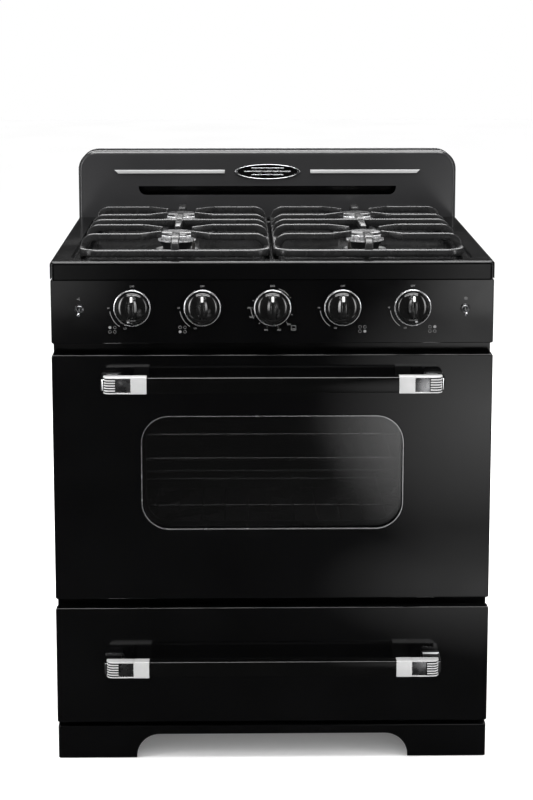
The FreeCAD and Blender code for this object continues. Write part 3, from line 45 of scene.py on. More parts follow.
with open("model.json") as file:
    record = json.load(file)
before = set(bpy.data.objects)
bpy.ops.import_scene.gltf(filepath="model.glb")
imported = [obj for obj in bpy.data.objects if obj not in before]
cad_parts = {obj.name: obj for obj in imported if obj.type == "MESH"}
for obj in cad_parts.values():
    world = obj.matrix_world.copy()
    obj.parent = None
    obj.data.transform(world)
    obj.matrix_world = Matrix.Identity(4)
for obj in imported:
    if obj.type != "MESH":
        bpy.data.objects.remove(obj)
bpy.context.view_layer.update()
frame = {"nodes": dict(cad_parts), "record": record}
NODES = frame["nodes"]
MM = 0.001
SMALL = 1e-6
CLEAR_ANGLE = 0.9
X, Y, Z = Vector((1, 0, 0)), Vector((0, 1, 0)), Vector((0, 0, 1))
CHASSIS = "chassis"


def corners(name):
    """Lowest and highest corner of a CAD node."""
    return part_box(name)


def middle(name):
    """Middle of a CAD node's box."""
    low, high = corners(name)
    return (low + high) / 2


DOOR_FACE = corners("door_skin")[0].y
DRAWER_FACE = corners("drawer_front")[0].y
PANEL_FACE = corners("control_panel")[0].y
KNOB_Z = middle("valve_stem_1").z
KNOB_NUMBERS = range(1, 6)
RIM_Z = corners("cooktop")[1].z
GUARD_FACE = corners("backguard_shell")[0].y
TRIM_Z = middle("backguard_trim").z


# ---------------------------------------------------------------- settings
class KnobSizes(bpy.types.PropertyGroup):
    """Sizes of the knobs and of the rings round them"""
    radius: FloatProperty(name="Radius", description="Radius of the knob's skirt", default=0.0275,
                          unit="LENGTH")
    skirt: FloatProperty(name="Skirt", description="Height of the straight skirt", default=0.004,
                         unit="LENGTH")
    dome: FloatProperty(name="Dome", description="Height of the dome's middle", default=0.015,
                        unit="LENGTH")
    grip_width: FloatProperty(name="Grip width", description="Widest part of the grip", default=0.0215,
                              unit="LENGTH")
    grip_length: FloatProperty(name="Grip length", description="Length of the grip", default=0.043,
                               unit="LENGTH")
    grip_height: FloatProperty(name="Grip height", description="Grip's crown above the panel side",
                               default=0.0278, unit="LENGTH")
    grip_rise: FloatProperty(name="Grip rise", description="Grip's middle above the knob's axis",
                             default=0.003, unit="LENGTH")
    ring_radius: FloatProperty(name="Ring radius", description="Outer radius of the bright ring",
                               default=0.031, unit="LENGTH")
    ring_wall: FloatProperty(name="Ring wall", description="Wall of the bright ring", default=0.0017,
                             unit="LENGTH")


class HandleSizes(bpy.types.PropertyGroup):
    """Sizes that both handles share"""
    length: FloatProperty(name="Length", description="Handle, end to end", default=0.586, unit="LENGTH")
    end_length: FloatProperty(name="End length", description="Length of each bright end", default=0.079,
                              unit="LENGTH")
    sleeve: FloatProperty(name="Sleeve", description="Plain inner part of each end", default=0.027,
                          unit="LENGTH")
    field: FloatProperty(name="Field", description="Sunk panel of each end", default=0.0255, unit="LENGTH")
    height: FloatProperty(name="Height", description="Height of the bright ends", default=0.029,
                          unit="LENGTH")
    depth: FloatProperty(name="Depth", description="Depth of the bright ends", default=0.018,
                         unit="LENGTH")
    proud: FloatProperty(name="Proud", description="Front of the handle ahead of its panel",
                         default=0.053, unit="LENGTH")
    sunk: FloatProperty(name="Sunk", description="Depth of the grooves and of the sunk panel",
                        default=0.001, unit="LENGTH")
    flutes: IntProperty(name="Flutes", description="Grooves round each outer corner", default=6)


class GrateSizes(bpy.types.PropertyGroup):
    """Sizes of the grates' rails and bars"""
    bar_width: FloatProperty(name="Bar width", description="Width of the bars", default=0.008,
                             unit="LENGTH")
    bar_height: FloatProperty(name="Bar height", description="Height of the level bars", default=0.012,
                              unit="LENGTH")
    finger_width: FloatProperty(name="Finger width", description="Width of the fore-and-aft fingers",
                                default=0.014, unit="LENGTH")
    finger_gap: FloatProperty(name="Finger gap", description="Finger tips from the burner's axis",
                              default=0.038, unit="LENGTH")
    rail_width: FloatProperty(name="Rail width", description="Width of the outer rail", default=0.011,
                              unit="LENGTH")
    corner: FloatProperty(name="Corner", description="Outer corner radius of the rail", default=0.038,
                          unit="LENGTH")


class FinishColours(bpy.types.PropertyGroup):
    """Colours of the main finishes"""
    enamel: FloatVectorProperty(name="Enamel", description="Gloss enamel of the fronts",
                                default=(0.0016, 0.0016, 0.0017), subtype="COLOR")
    # Painted light: the backguard's colour is a lighter grey than the fronts' black enamel, to paint on the
    # light falling on it from above.
    guard: FloatVectorProperty(name="Backguard", description="Satin enamel of the backguard",
                               default=(0.021, 0.021, 0.0218), subtype="COLOR")
    iron: FloatVectorProperty(name="Iron", description="Enamelled cast iron of the grates",
                              default=(0.015, 0.015, 0.0153), subtype="COLOR")
    chrome: FloatVectorProperty(name="Chrome", description="Bright plating", default=(0.82, 0.82, 0.83),
                                subtype="COLOR")
    ink: FloatVectorProperty(name="Ink", description="Printed marks", default=(0.17, 0.17, 0.17),
                             subtype="COLOR")


class StageSizes(bpy.types.PropertyGroup):
    """Place and lens of the camera"""
    lens: FloatProperty(name="Lens", description="Focal length in millimetres", default=83.0)
    distance: FloatProperty(name="Distance", description="Camera ahead of the fronts", default=3.102,
                            unit="LENGTH")
    height: FloatProperty(name="Height", description="Camera above the floor", default=1.378,
                          unit="LENGTH")
    side: FloatProperty(name="Side", description="Camera to the side", default=-0.0548, unit="LENGTH")
    pitch: FloatProperty(name="Pitch", description="Camera tilt below level",
                         default=math.radians(8.51), unit="ROTATION")
    yaw: FloatProperty(name="Yaw", description="Camera turn to the right", default=math.radians(0.82),
                       unit="ROTATION")
    rise: FloatProperty(name="Shift", description="Vertical shift of the lens", default=-0.19)


# ---------------------------------------------------------------- mesh helpers
def block(bm, low, high):
    """Box between two corners. Returns its vertices."""
    low, high = Vector(low), Vector(high)
    size = high - low
    place = Matrix.Translation((low + high) / 2) @ Matrix.Diagonal((*size, 1))
    return bmesh.ops.create_cube(bm, size=1.0, matrix=place)["verts"]


def verts_in(geom):
    """The vertices among the elements that an operator returns."""
    return [item for item in geom if isinstance(item, bmesh.types.BMVert)]


def edges_of(verts):
    """The edges whose ends are both among the vertices."""
    found = set()
    for vert in verts:
        found.update(vert.link_edges)
    return [edge for edge in found if all(v in verts for v in edge.verts)]


def new_edges(bm, before):
    """The edges made since the vertices were listed."""
    return [e for e in bm.edges if not (set(e.verts) & before)]


def along(edges, axis):
    """The edges parallel to an axis."""
    return [e for e in edges if abs((e.verts[0].co - e.verts[1].co).normalized().dot(axis)) > 0.999]


def sharp_in(edges):
    """The edges where two faces meet at a clear angle."""
    return [e for e in edges if len(e.link_faces) == 2 and e.calc_face_angle(0) > CLEAR_ANGLE]


def bevel(bm, geom, offset, segments=4, affect="EDGES"):
    """Rounds edges or corners."""
    bmesh.ops.bevel(bm, geom=geom, offset=offset, segments=segments, profile=0.5, affect=affect,
                    material=-1, clamp_overlap=True)


def soft_block(bm, low, high, radius, segments=3):
    """Box with every edge rounded."""
    verts = block(bm, low, high)
    bevel(bm, edges_of(set(verts)), radius, segments)


def outline_face(bm, points):
    """Flat face through a few points."""
    return bm.faces.new([bm.verts.new(point) for point in points])


def push(bm, faces, way):
    """Extrudes faces along a vector."""
    made = bmesh.ops.extrude_face_region(bm, geom=faces)["geom"]
    bmesh.ops.translate(bm, verts=verts_in(made), vec=way)


def open_up(bm, caps, wall):
    """Turns a slab into a ring, by insetting its two caps and joining the holes."""
    bmesh.ops.inset_region(bm, faces=caps, thickness=wall, depth=0.0, use_even_offset=True)
    caps = [f for f in caps if f.is_valid]
    loops = [e for f in caps for e in f.edges]
    bmesh.ops.delete(bm, geom=caps, context="FACES_ONLY")
    bmesh.ops.bridge_loops(bm, edges=[e for e in loops if e.is_valid])


def lathe(bm, profile, centre, axis, steps, closed=False):
    """Turned form from (radius, distance along the axis) points."""
    verts = [bm.verts.new(centre + X * r + axis * d) for r, d in profile]
    pairs = list(zip(verts, verts[1:]))
    if closed:
        pairs.append((verts[-1], verts[0]))
    edges = [bm.edges.new(pair) for pair in pairs]
    bmesh.ops.spin(bm, geom=verts + edges, cent=centre, axis=axis, dvec=(0, 0, 0), angle=math.tau,
                   steps=steps, use_merge=True, use_duplicate=False)
    bmesh.ops.remove_doubles(bm, verts=bm.verts, dist=SMALL)


def in_mm(points):
    """Points given in millimetres, in metres."""
    return [tuple(number * MM for number in point) for point in points]


def arc(centre, radius, start, end, count):
    """(a, b) points on an arc, angles in degrees."""
    made = []
    for i in range(count + 1):
        angle = math.radians(start + (end - start) * i / count)
        made.append((centre[0] + radius * math.cos(angle), centre[1] + radius * math.sin(angle)))
    return made


def finish_piece(bm, name, materials, body, nodes=(), angle=35.0, outward=True):
    """Mesh object from a bmesh, with its finish, its body and the CAD nodes it stands for."""
    if outward:
        bmesh.ops.remove_doubles(bm, verts=bm.verts, dist=SMALL)
        bmesh.ops.recalc_face_normals(bm, faces=bm.faces)
    mesh = bpy.data.meshes.new(name)
    bm.to_mesh(mesh)
    bm.free()
    for material in materials:
        mesh.materials.append(material)
    mesh.shade_smooth()
    mesh.set_sharp_from_angle(angle=math.radians(angle))
    piece = link(name, mesh)
    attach(piece, body)
    if nodes:
        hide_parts(*nodes)


def mark_new(bm, before, index):
    """Gives faces made since then a material index."""
    for face in bm.faces:
        if face not in before:
            face.material_index = index


# ---------------------------------------------------------------- finishes
def node(tree, kind, **values):
    """New shader node, with values for its sockets or settings."""
    made = tree.nodes.new(kind)
    for key, value in values.items():
        if key in made.inputs:
            made.inputs[key].default_value = value
        else:
            setattr(made, key, value)
    return made


def blank(name):
    """New material with its Principled shader. Returns (material, tree, shader, coordinates)."""
    material = bpy.data.materials.new(name)
    material.use_nodes = True
    tree = material.node_tree
    shader = next(n for n in tree.nodes if n.type == "BSDF_PRINCIPLED")
    coordinates = tree.nodes.new("ShaderNodeTexCoord").outputs["Object"]
    return material, tree, shader, coordinates


def noise(tree, coordinates, scale, detail=3.0, stretch=None):
    """Soft random pattern, stretched along an axis if asked."""
    if stretch:
        mapping = node(tree, "ShaderNodeMapping")
        mapping.inputs["Scale"].default_value = stretch
        tree.links.new(coordinates, mapping.inputs["Vector"])
        coordinates = mapping.outputs["Vector"]
    made = node(tree, "ShaderNodeTexNoise", Scale=scale, Detail=detail)
    tree.links.new(coordinates, made.inputs["Vector"])
    return made.outputs["Fac"]


def spread(tree, value, low, high, out_low, out_high):
    """Maps a value's range onto another, clamped."""
    made = node(tree, "ShaderNodeMapRange")
    for key, number in (("From Min", low), ("From Max", high), ("To Min", out_low), ("To Max", out_high)):
        made.inputs[key].default_value = number
    tree.links.new(value, made.inputs["Value"])
    return made.outputs["Result"]


def blend_colours(tree, factor, first, second):
    """Mix of two colours or colour sockets."""
    made = node(tree, "ShaderNodeMix", data_type="RGBA")
    tree.links.new(factor, made.inputs[0])
    for socket, colour in ((made.inputs[6], first), (made.inputs[7], second)):
        if isinstance(colour, bpy.types.NodeSocket):
            tree.links.new(colour, socket)
        else:
            socket.default_value = (*colour[:3], 1.0)
    return made.outputs[2]


def bumped(tree, shader, height, strength, distance, before=None):
    """Adds surface relief to a shader, over an earlier relief if there is one."""
    made = node(tree, "ShaderNodeBump", Strength=strength, Distance=distance)
    tree.links.new(height, made.inputs["Height"])
    if before is not None:
        tree.links.new(before, made.inputs["Normal"])
    tree.links.new(made.outputs["Normal"], shader.inputs["Normal"])
    return made.outputs["Normal"]


PEEL_DEPTH = 0.0004
WAVE_DEPTH = 0.001


def finish(name, colour, rough, metallic=0.0, vary=0.12, patch=9.0, rough_vary=0.25, smudge=0.0,
           peel=(260.0, 0.03), wave=None, stretch=None, **sockets):
    """Finish with patchy colour, uneven gloss, faint smudges and a fine surface texture."""
    material, tree, shader, coordinates = blank(name)
    colour = tuple(colour)
    tint = noise(tree, coordinates, patch, 4.0, stretch)
    dark = tuple(c * (1 - vary) for c in colour)
    light = tuple(min(1.0, c * (1 + vary)) for c in colour)
    mixed = blend_colours(tree, spread(tree, tint, 0.3, 0.7, 0.0, 1.0), dark, light)
    tree.links.new(mixed, shader.inputs["Base Color"])
    gloss = noise(tree, coordinates, patch * 2.3, 5.0, stretch)
    low = rough * (1 - rough_vary)
    high = rough * (1 + rough_vary)
    roughness = spread(tree, gloss, 0.35, 0.65, low, high)
    if smudge:
        touch = noise(tree, coordinates, 5.5, 6.0)
        add = node(tree, "ShaderNodeMath", operation="ADD")
        tree.links.new(roughness, add.inputs[0])
        tree.links.new(spread(tree, touch, 0.55, 0.75, 0.0, smudge), add.inputs[1])
        roughness = add.outputs["Value"]
    tree.links.new(roughness, shader.inputs["Roughness"])
    last = bumped(tree, shader, noise(tree, coordinates, peel[0], 2.0, stretch), peel[1], PEEL_DEPTH)
    if wave:
        bumped(tree, shader, noise(tree, coordinates, wave[0], 1.0), wave[1], WAVE_DEPTH, last)
    shader.inputs["Metallic"].default_value = metallic
    for key, value in sockets.items():
        shader.inputs[key.replace("_", " ")].default_value = value
    return material


def speckled(name, base, fleck, scale, amount, rough):
    """Enamel with flecks of a second colour."""
    material, tree, shader, coordinates = blank(name)
    cells = node(tree, "ShaderNodeTexVoronoi", Scale=scale)
    tree.links.new(coordinates, cells.inputs["Vector"])
    spots = spread(tree, cells.outputs["Distance"], amount, amount + 0.12, 1.0, 0.0)
    patch = noise(tree, coordinates, 7.0, 4.0)
    dark = tuple(c * 0.8 for c in base)
    ground = blend_colours(tree, spread(tree, patch, 0.3, 0.7, 0.0, 1.0), dark, base)
    tree.links.new(blend_colours(tree, spots, ground, fleck), shader.inputs["Base Color"])
    tree.links.new(spread(tree, patch, 0.3, 0.7, rough * 0.8, rough * 1.2), shader.inputs["Roughness"])
    bumped(tree, shader, cells.outputs["Distance"], 0.08, PEEL_DEPTH)
    return material


def spangled(name, colour, rough):
    """Galvanised sheet, whose crystals differ in shade."""
    material, tree, shader, coordinates = blank(name)
    cells = node(tree, "ShaderNodeTexVoronoi", Scale=70.0)
    tree.links.new(coordinates, cells.inputs["Vector"])
    shade = node(tree, "ShaderNodeRGBToBW")
    tree.links.new(cells.outputs["Color"], shade.inputs["Color"])
    factor = spread(tree, shade.outputs["Val"], 0.2, 0.8, 0.0, 1.0)
    mixed = blend_colours(tree, factor, tuple(c * 0.94 for c in colour), colour)
    tree.links.new(mixed, shader.inputs["Base Color"])
    tree.links.new(spread(tree, shade.outputs["Val"], 0.2, 0.8, rough * 0.95, rough * 1.06),
                   shader.inputs["Roughness"])
    bumped(tree, shader, noise(tree, coordinates, 320.0), 0.05, 0.0003)
    shader.inputs["Metallic"].default_value = 1.0
    return material


def woven(name, colour, scale, rough):
    """Woven or felted fibre."""
    material, tree, shader, coordinates = blank(name)
    threads = node(tree, "ShaderNodeTexWave", Scale=scale, Distortion=6.0, Detail=3.0)
    tree.links.new(coordinates, threads.inputs["Vector"])
    fuzz = noise(tree, coordinates, scale * 0.6, 8.0)
    dark = tuple(c * 0.55 for c in colour)
    light = tuple(min(1.0, c * 1.25) for c in colour)
    mixed = blend_colours(tree, fuzz, dark, light)
    tree.links.new(mixed, shader.inputs["Base Color"])
    tree.links.new(spread(tree, fuzz, 0.3, 0.7, rough * 0.9, 1.0), shader.inputs["Roughness"])
    last = bumped(tree, shader, threads.outputs["Fac"], 0.35, 0.0008)
    bumped(tree, shader, fuzz, 0.5, 0.001, last)
    return material


def clear(name, colour, alpha, rough, **sockets):
    """Tinted glass that shows what is behind it."""
    made = finish(name, colour, rough, vary=0.08, patch=4.0, smudge=0.04, peel=(60.0, 0.004),
                  Alpha=alpha, **sockets)
    made.surface_render_method = "BLENDED"
    return made


FINISHES = {}


def make_finishes(colours):
    """Every finish, by the name of the record's material slot or of the extra finish."""
    enamel, guard, iron = tuple(colours.enamel), tuple(colours.guard), tuple(colours.iron)
    chrome, ink = tuple(colours.chrome), tuple(colours.ink)
    FINISHES.update({
        "enamel_black": finish("gloss_black_enamel", enamel, 0.085, smudge=0.03, peel=(220.0, 0.012),
                               wave=(9.0, 0.02), vary=0.2),
        "enamel_cooktop": finish("cooktop_enamel", enamel, 0.14, smudge=0.03, peel=(260.0, 0.004), vary=0.15,
                                 rough_vary=0.12, patch=5.0, Specular_IOR_Level=0.25),
        # Painted light: the backguard's enamel is lighter than the fronts', standing in for the overhead
        # light on its face.
        "guard_enamel_painted_light": finish("backguard_enamel", guard, 0.16, smudge=0.03, peel=(420.0, 0.008), vary=0.1,
                               rough_vary=0.1, patch=5.0),
        "enamel_oven": speckled("speckled_oven_enamel", (0.016, 0.016, 0.018), (0.12, 0.12, 0.13), 420.0,
                                0.1, 0.3),
        "frame_steel": finish("gloss_black_frame", enamel, 0.16, smudge=0.05, peel=(300.0, 0.02)),
        "galvanised": spangled("galvanised_sheet", (0.6, 0.61, 0.62), 0.36),
        "zinc_plate": finish("zinc_plate", (0.62, 0.62, 0.64), 0.3, metallic=1.0, vary=0.15, patch=40.0,
                             peel=(500.0, 0.06)),
        "chrome": finish("polished_chrome", chrome, 0.07, metallic=1.0, vary=0.04, patch=14.0, smudge=0.05,
                         peel=(300.0, 0.01)),
        # Painted shade: chrome darkened almost to black, for the shade in the sunk core between the handle
        # ends' flutes.
        "chrome_painted_shade": finish("chrome_painted_shade", (0.05, 0.05, 0.05), 0.15, metallic=1.0, patch=60.0),
        "satin_chrome": finish("satin_chrome", (0.52, 0.52, 0.52), 0.4, metallic=0.35, vary=0.05, patch=60.0,
                               peel=(900.0, 0.05), stretch=(0.15, 1.0, 1.0)),
        "soft_chrome": finish("soft_chrome", (0.6, 0.6, 0.61), 0.22, metallic=0.85, vary=0.06, patch=40.0,
                              peel=(500.0, 0.03)),
        "head_alloy": finish("machined_alloy", (0.74, 0.74, 0.75), 0.28, metallic=0.6, patch=60.0,
                             peel=(700.0, 0.05)),
        # Painted shade: near-black colour of the burner base castings, for the shadow under the burner
        # heads.
        "steel_painted_shade": finish("steel_painted_shade", (0.012, 0.012, 0.013), 0.4, vary=0.3, patch=40.0, smudge=0.1,
                              peel=(500.0, 0.08)),
        "dull_chrome": finish("dull_chrome", (0.4, 0.4, 0.41), 0.26, metallic=1.0, vary=0.08, patch=40.0,
                              peel=(500.0, 0.03)),
        "chrome_wire": finish("plated_wire", (0.72, 0.72, 0.73), 0.16, metallic=1.0, vary=0.15, patch=30.0,
                              smudge=0.1, peel=(400.0, 0.05)),
        "aluminium": finish("cast_aluminium", (0.78, 0.78, 0.79), 0.24, metallic=1.0, vary=0.18, patch=60.0,
                            peel=(700.0, 0.06)),
        "tube_aluminium": finish("drawn_aluminium", (0.7, 0.7, 0.71), 0.3, metallic=1.0, vary=0.1,
                                 patch=30.0, peel=(500.0, 0.05)),
        "brass": finish("machined_brass", (0.7, 0.52, 0.22), 0.28, metallic=1.0, vary=0.18, patch=40.0,
                        peel=(600.0, 0.06)),
        "pipe_steel": finish("plated_pipe", (0.42, 0.42, 0.43), 0.38, metallic=1.0, vary=0.25, patch=20.0,
                             smudge=0.15, peel=(450.0, 0.08)),
        "cast_iron": finish("enamelled_iron", iron, 0.26, vary=0.2, patch=30.0, smudge=0.1,
                            peel=(600.0, 0.1)),
        "cap_enamel": finish("cap_enamel", (0.012, 0.012, 0.013), 0.28, vary=0.25, patch=30.0, smudge=0.1,
                             peel=(700.0, 0.12)),
        "lamp_glass": clear("lamp_glass", (0.85, 0.85, 0.8), 0.45, 0.05),
        "glass": clear("oven_window_glass", (0.002, 0.002, 0.002), 0.35, 0.12, IOR=3.0),
        "ceramic": finish("aged_ceramic", (0.03, 0.028, 0.026), 0.35, vary=0.2, patch=80.0, smudge=0.2),
        "mineral_wool": woven("mineral_wool", (0.62, 0.55, 0.34), 120.0, 0.95),
        "gasket": woven("braided_gasket", (0.09, 0.09, 0.09), 320.0, 0.9),
        "phenolic_black": finish("polished_phenolic", (0.004, 0.004, 0.004), 0.09, vary=0.25, patch=50.0,
                                 smudge=0.05, peel=(500.0, 0.015)),
        "grip_black": finish("handle_black", (0.0016, 0.0016, 0.0016), 0.1, vary=0.2, patch=12.0,
                             smudge=0.04, peel=(500.0, 0.01)),
        "nylon_black": finish("moulded_nylon", (0.02, 0.02, 0.02), 0.5, peel=(600.0, 0.1)),
        "foot_plastic": finish("foot_plastic", (0.03, 0.03, 0.03), 0.55, smudge=0.1, peel=(500.0, 0.1)),
        "ink": finish("printed_ink", ink, 0.5, vary=0.2, patch=300.0, peel=(900.0, 0.1)),
        "pointer_white": finish("pointer_white", (0.62, 0.62, 0.61), 0.4, vary=0.06, patch=200.0,
                                peel=(900.0, 0.05)),
    })


# ---------------------------------------------------------------- knobs
STEM_HOLE_R = 4.3 * MM
STEM_HOLE_DEPTH = 9 * MM
CROWN_RADIUS = 46 * MM
GRIP_FOOT = 5 * MM
GRIP_INSIDE = 3 * MM
CREST_HALF = 0.46
SHOULDER = 0.88
TAPER_START = 0.72
GROOVE_PLACE = 0.3
GROOVE_HALF = 0.12
GROOVE_DEPTH = 0.9 * MM


def knob_dome(bm, sizes, centre):
    """Turned body of a knob: dome, rolled edge, skirt and stem hole."""
    radius, skirt, dome = sizes.radius, sizes.skirt, sizes.dome
    rise = dome - skirt
    dome_r = (radius ** 2 + rise ** 2) / (2 * rise)
    edge = 1.2 * MM
    back_edge = 0.8 * MM
    rings = 14
    profile = [(0.0, -dome)]
    for i in range(1, rings + 1):
        r = (radius - edge) * i / rings
        profile.append((r, -dome + dome_r - math.sqrt(dome_r ** 2 - r ** 2)))
    profile += [(radius - 0.35 * edge, -skirt - 0.1 * edge), (radius, -skirt + edge)]
    profile += [(radius, -back_edge), (radius - back_edge, 0.0), (STEM_HOLE_R, 0.0)]
    profile += [(STEM_HOLE_R, -STEM_HOLE_DEPTH), (0.0, -STEM_HOLE_DEPTH)]
    lathe(bm, profile, centre, Y, 96)


def knob_grip(bm, sizes, centre):
    """Grip with a grooved crown, sloping flanks and tapered ends, moved from a flat grid."""
    centre = centre + Vector((0, 0, sizes.grip_rise))
    half_w = sizes.grip_width / 2
    half_l = sizes.grip_length / 2
    made = bmesh.ops.create_grid(bm, x_segments=60, y_segments=36, size=1.0)["verts"]
    for vert in made:
        u, t = vert.co.x, vert.co.y
        width = half_w * (1 - abs(t) ** 2.3) ** 0.62 if abs(t) < 1 else 0.0
        width = max(width, 0.6 * MM)
        z = half_l * t
        crest = sizes.grip_height - (CROWN_RADIUS - math.sqrt(CROWN_RADIUS ** 2 - z * z))
        a = abs(u)
        end = 1 - max(0.0, (abs(t) - TAPER_START) / (1 - TAPER_START)) ** 2.2
        slope = max(0.0, a - CREST_HALF) * width * 0.78
        side = max(0.0, (a - SHOULDER) / (1 - SHOULDER)) ** 1.6
        height = GRIP_FOOT + (crest - GRIP_FOOT - slope) * (1 - side) * (0.25 + 0.75 * end)
        deep = GROOVE_DEPTH * end * max(0.0, 1 - ((a - GROOVE_PLACE) / GROOVE_HALF) ** 2)
        vert.co = centre + Vector((u * width, -(height - deep), z))
    rim = [e for e in edges_of(set(made)) if e.is_boundary]
    low = verts_in(bmesh.ops.extrude_edge_only(bm, edges=rim)["geom"])
    for vert in low:
        vert.co.y = centre.y - GRIP_INSIDE
    bmesh.ops.contextual_create(bm, geom=low)


def knob_pointer(bm, sizes, centre):
    """White inlay at the upper end of the grip's crown."""
    half = Vector((2.1, 0.9, 4.8)) * MM
    soft_block(bm, -half, half, 0.8 * MM)
    top = [e for e in along(bm.edges, Y) if min(v.co.z for v in e.verts) > 3 * MM]
    bevel(bm, top, 1.2 * MM)
    turn = Matrix.Rotation(math.radians(-21), 4, "X")
    lift = Matrix.Translation(centre + Vector((0, -24.1 * MM, 16.2 * MM + sizes.grip_rise)))
    bmesh.ops.transform(bm, matrix=lift @ turn, verts=bm.verts)


def build_knobs(sizes):
    """Moulding and pointer of each knob."""
    for i in KNOB_NUMBERS:
        name = "knob_%d" % i
        centre = Vector((middle("valve_stem_%d" % i).x, corners(name)[1].y, KNOB_Z))
        bm = bmesh.new()
        knob_dome(bm, sizes, centre)
        knob_grip(bm, sizes, centre)
        finish_piece(bm, name + "_moulding", [FINISHES["phenolic_black"]], name, (name,),
                     angle=40)
        bm = bmesh.new()
        knob_pointer(bm, sizes, centre)
        finish_piece(bm, name + "_pointer", [FINISHES["pointer_white"]], name)


def build_rings(sizes):
    """Bright ring round each knob, all in one piece."""
    bm = bmesh.new()
    outer = sizes.ring_radius
    inner = outer - sizes.ring_wall
    half = sizes.ring_wall / 2
    foot = outer + 0.6 * MM
    front = corners("knob_bezels")[0].y - PANEL_FACE
    mid = (outer + inner) / 2
    crown = [(mid + half * math.cos(a), front + half - half * math.sin(a))
             for a in (math.pi * k / 8 for k in range(9))]
    profile = [(foot, 0.0), (foot, -0.8 * MM), (outer, -1.2 * MM)] + crown + [(inner, 0.0)]
    for i in KNOB_NUMBERS:
        centre = Vector((middle("valve_stem_%d" % i).x, PANEL_FACE, KNOB_Z))
        lathe(bm, profile, centre, Y, 96, closed=True)
    finish_piece(bm, "knob_rings", [FINISHES["soft_chrome"]], CHASSIS, ("knob_bezels",))


# ---------------------------------------------------------------- switches
SWITCHES = {"toggle_left": "ignition_toggle", "toggle_right": "lamp_toggle"}
NUT_PROFILE = in_mm([(8, 0), (8, -2.0), (7.6, -2.7), (6.9, -3), (6.0, -3), (5.6, -3.2), (5.5, -4.1),
                     (5.1, -4.5), (4.4, -4.4), (4.0, -3.9), (4.0, 0)])
LEVER_STEM = in_mm([(0, -3), (1.8, -2.4), (3, 0), (1.7, 2.4), (1.5, 4), (1.9, 11)])
LEVER_TILT = math.radians(22)
LEVER_TIP = 19.5 * MM
LEVER_TIP_R = 3.5 * MM


def build_switches():
    """Bushes with rounded nuts, and the two bat levers."""
    bm = bmesh.new()
    low, high = corners("switch_bodies")
    z = (low.z + high.z) / 2
    half_w, half_h = 8 * MM, 14 * MM
    for name in SWITCHES:
        x = middle(name).x
        lathe(bm, NUT_PROFILE, Vector((x, PANEL_FACE, z)), Y, 48, closed=True)
        soft_block(bm, (x - half_w, PANEL_FACE + 6 * MM, z - half_h), (x + half_w, high.y, z + half_h),
                   1 * MM)
    finish_piece(bm, "switch_nuts", [FINISHES["dull_chrome"]], CHASSIS, ("switch_bodies",))
    ball = arc((0.0, LEVER_TIP), LEVER_TIP_R, -58, 90, 10)
    for name, body in SWITCHES.items():
        pivot = Vector((middle(name).x, PANEL_FACE - 1 * MM, z))
        bm = bmesh.new()
        lathe(bm, [(max(r, 0.0), -d) for r, d in LEVER_STEM + ball], pivot, Y, 40)
        turn = Matrix.Rotation(LEVER_TILT, 3, "X")
        bmesh.ops.rotate(bm, cent=pivot, matrix=turn, verts=bm.verts)
        finish_piece(bm, name + "_lever", [FINISHES["dull_chrome"]], body, (name,), angle=50)


# ---------------------------------------------------------------- handles
def wrapped_slab(bm, x_span, y_span, z_span, corner, edge):
    """Slab whose outer front corner is rounded in plan, with soft upper and lower edges."""
    before = set(bm.verts)
    (x0, x1), (y0, y1) = x_span, y_span
    plan = [(x0, y1), (x0, y0)] + arc((x1 - corner, y0 + corner), corner, -90, 0, 10) + [(x1, y1)]
    flat = outline_face(bm, [Vector((a, b, z_span[0])) for a, b in plan])
    push(bm, [flat], Vector((0, 0, z_span[1] - z_span[0])))
    level = [e for e in new_edges(bm, before) if abs(e.verts[0].co.z - e.verts[1].co.z) < SMALL]
    bevel(bm, level, edge, 3)


HANDLE_METALS = ("chrome", "satin_chrome", "chrome_painted_shade", "dull_chrome")
POST, SATIN, SHADED, FIELD = range(4)
CAP_INSET = 5 * MM
CAP_CORNER = 11 * MM
CORE_CORNER = 10 * MM
CAP_BORDER = 2.4 * MM
POST_HALF_H = 10.5 * MM
POST_LENGTH = 30 * MM
POST_LAP = 12 * MM
POST_FLANGE = 2 * MM
HANDLE_LAP = 1 * MM


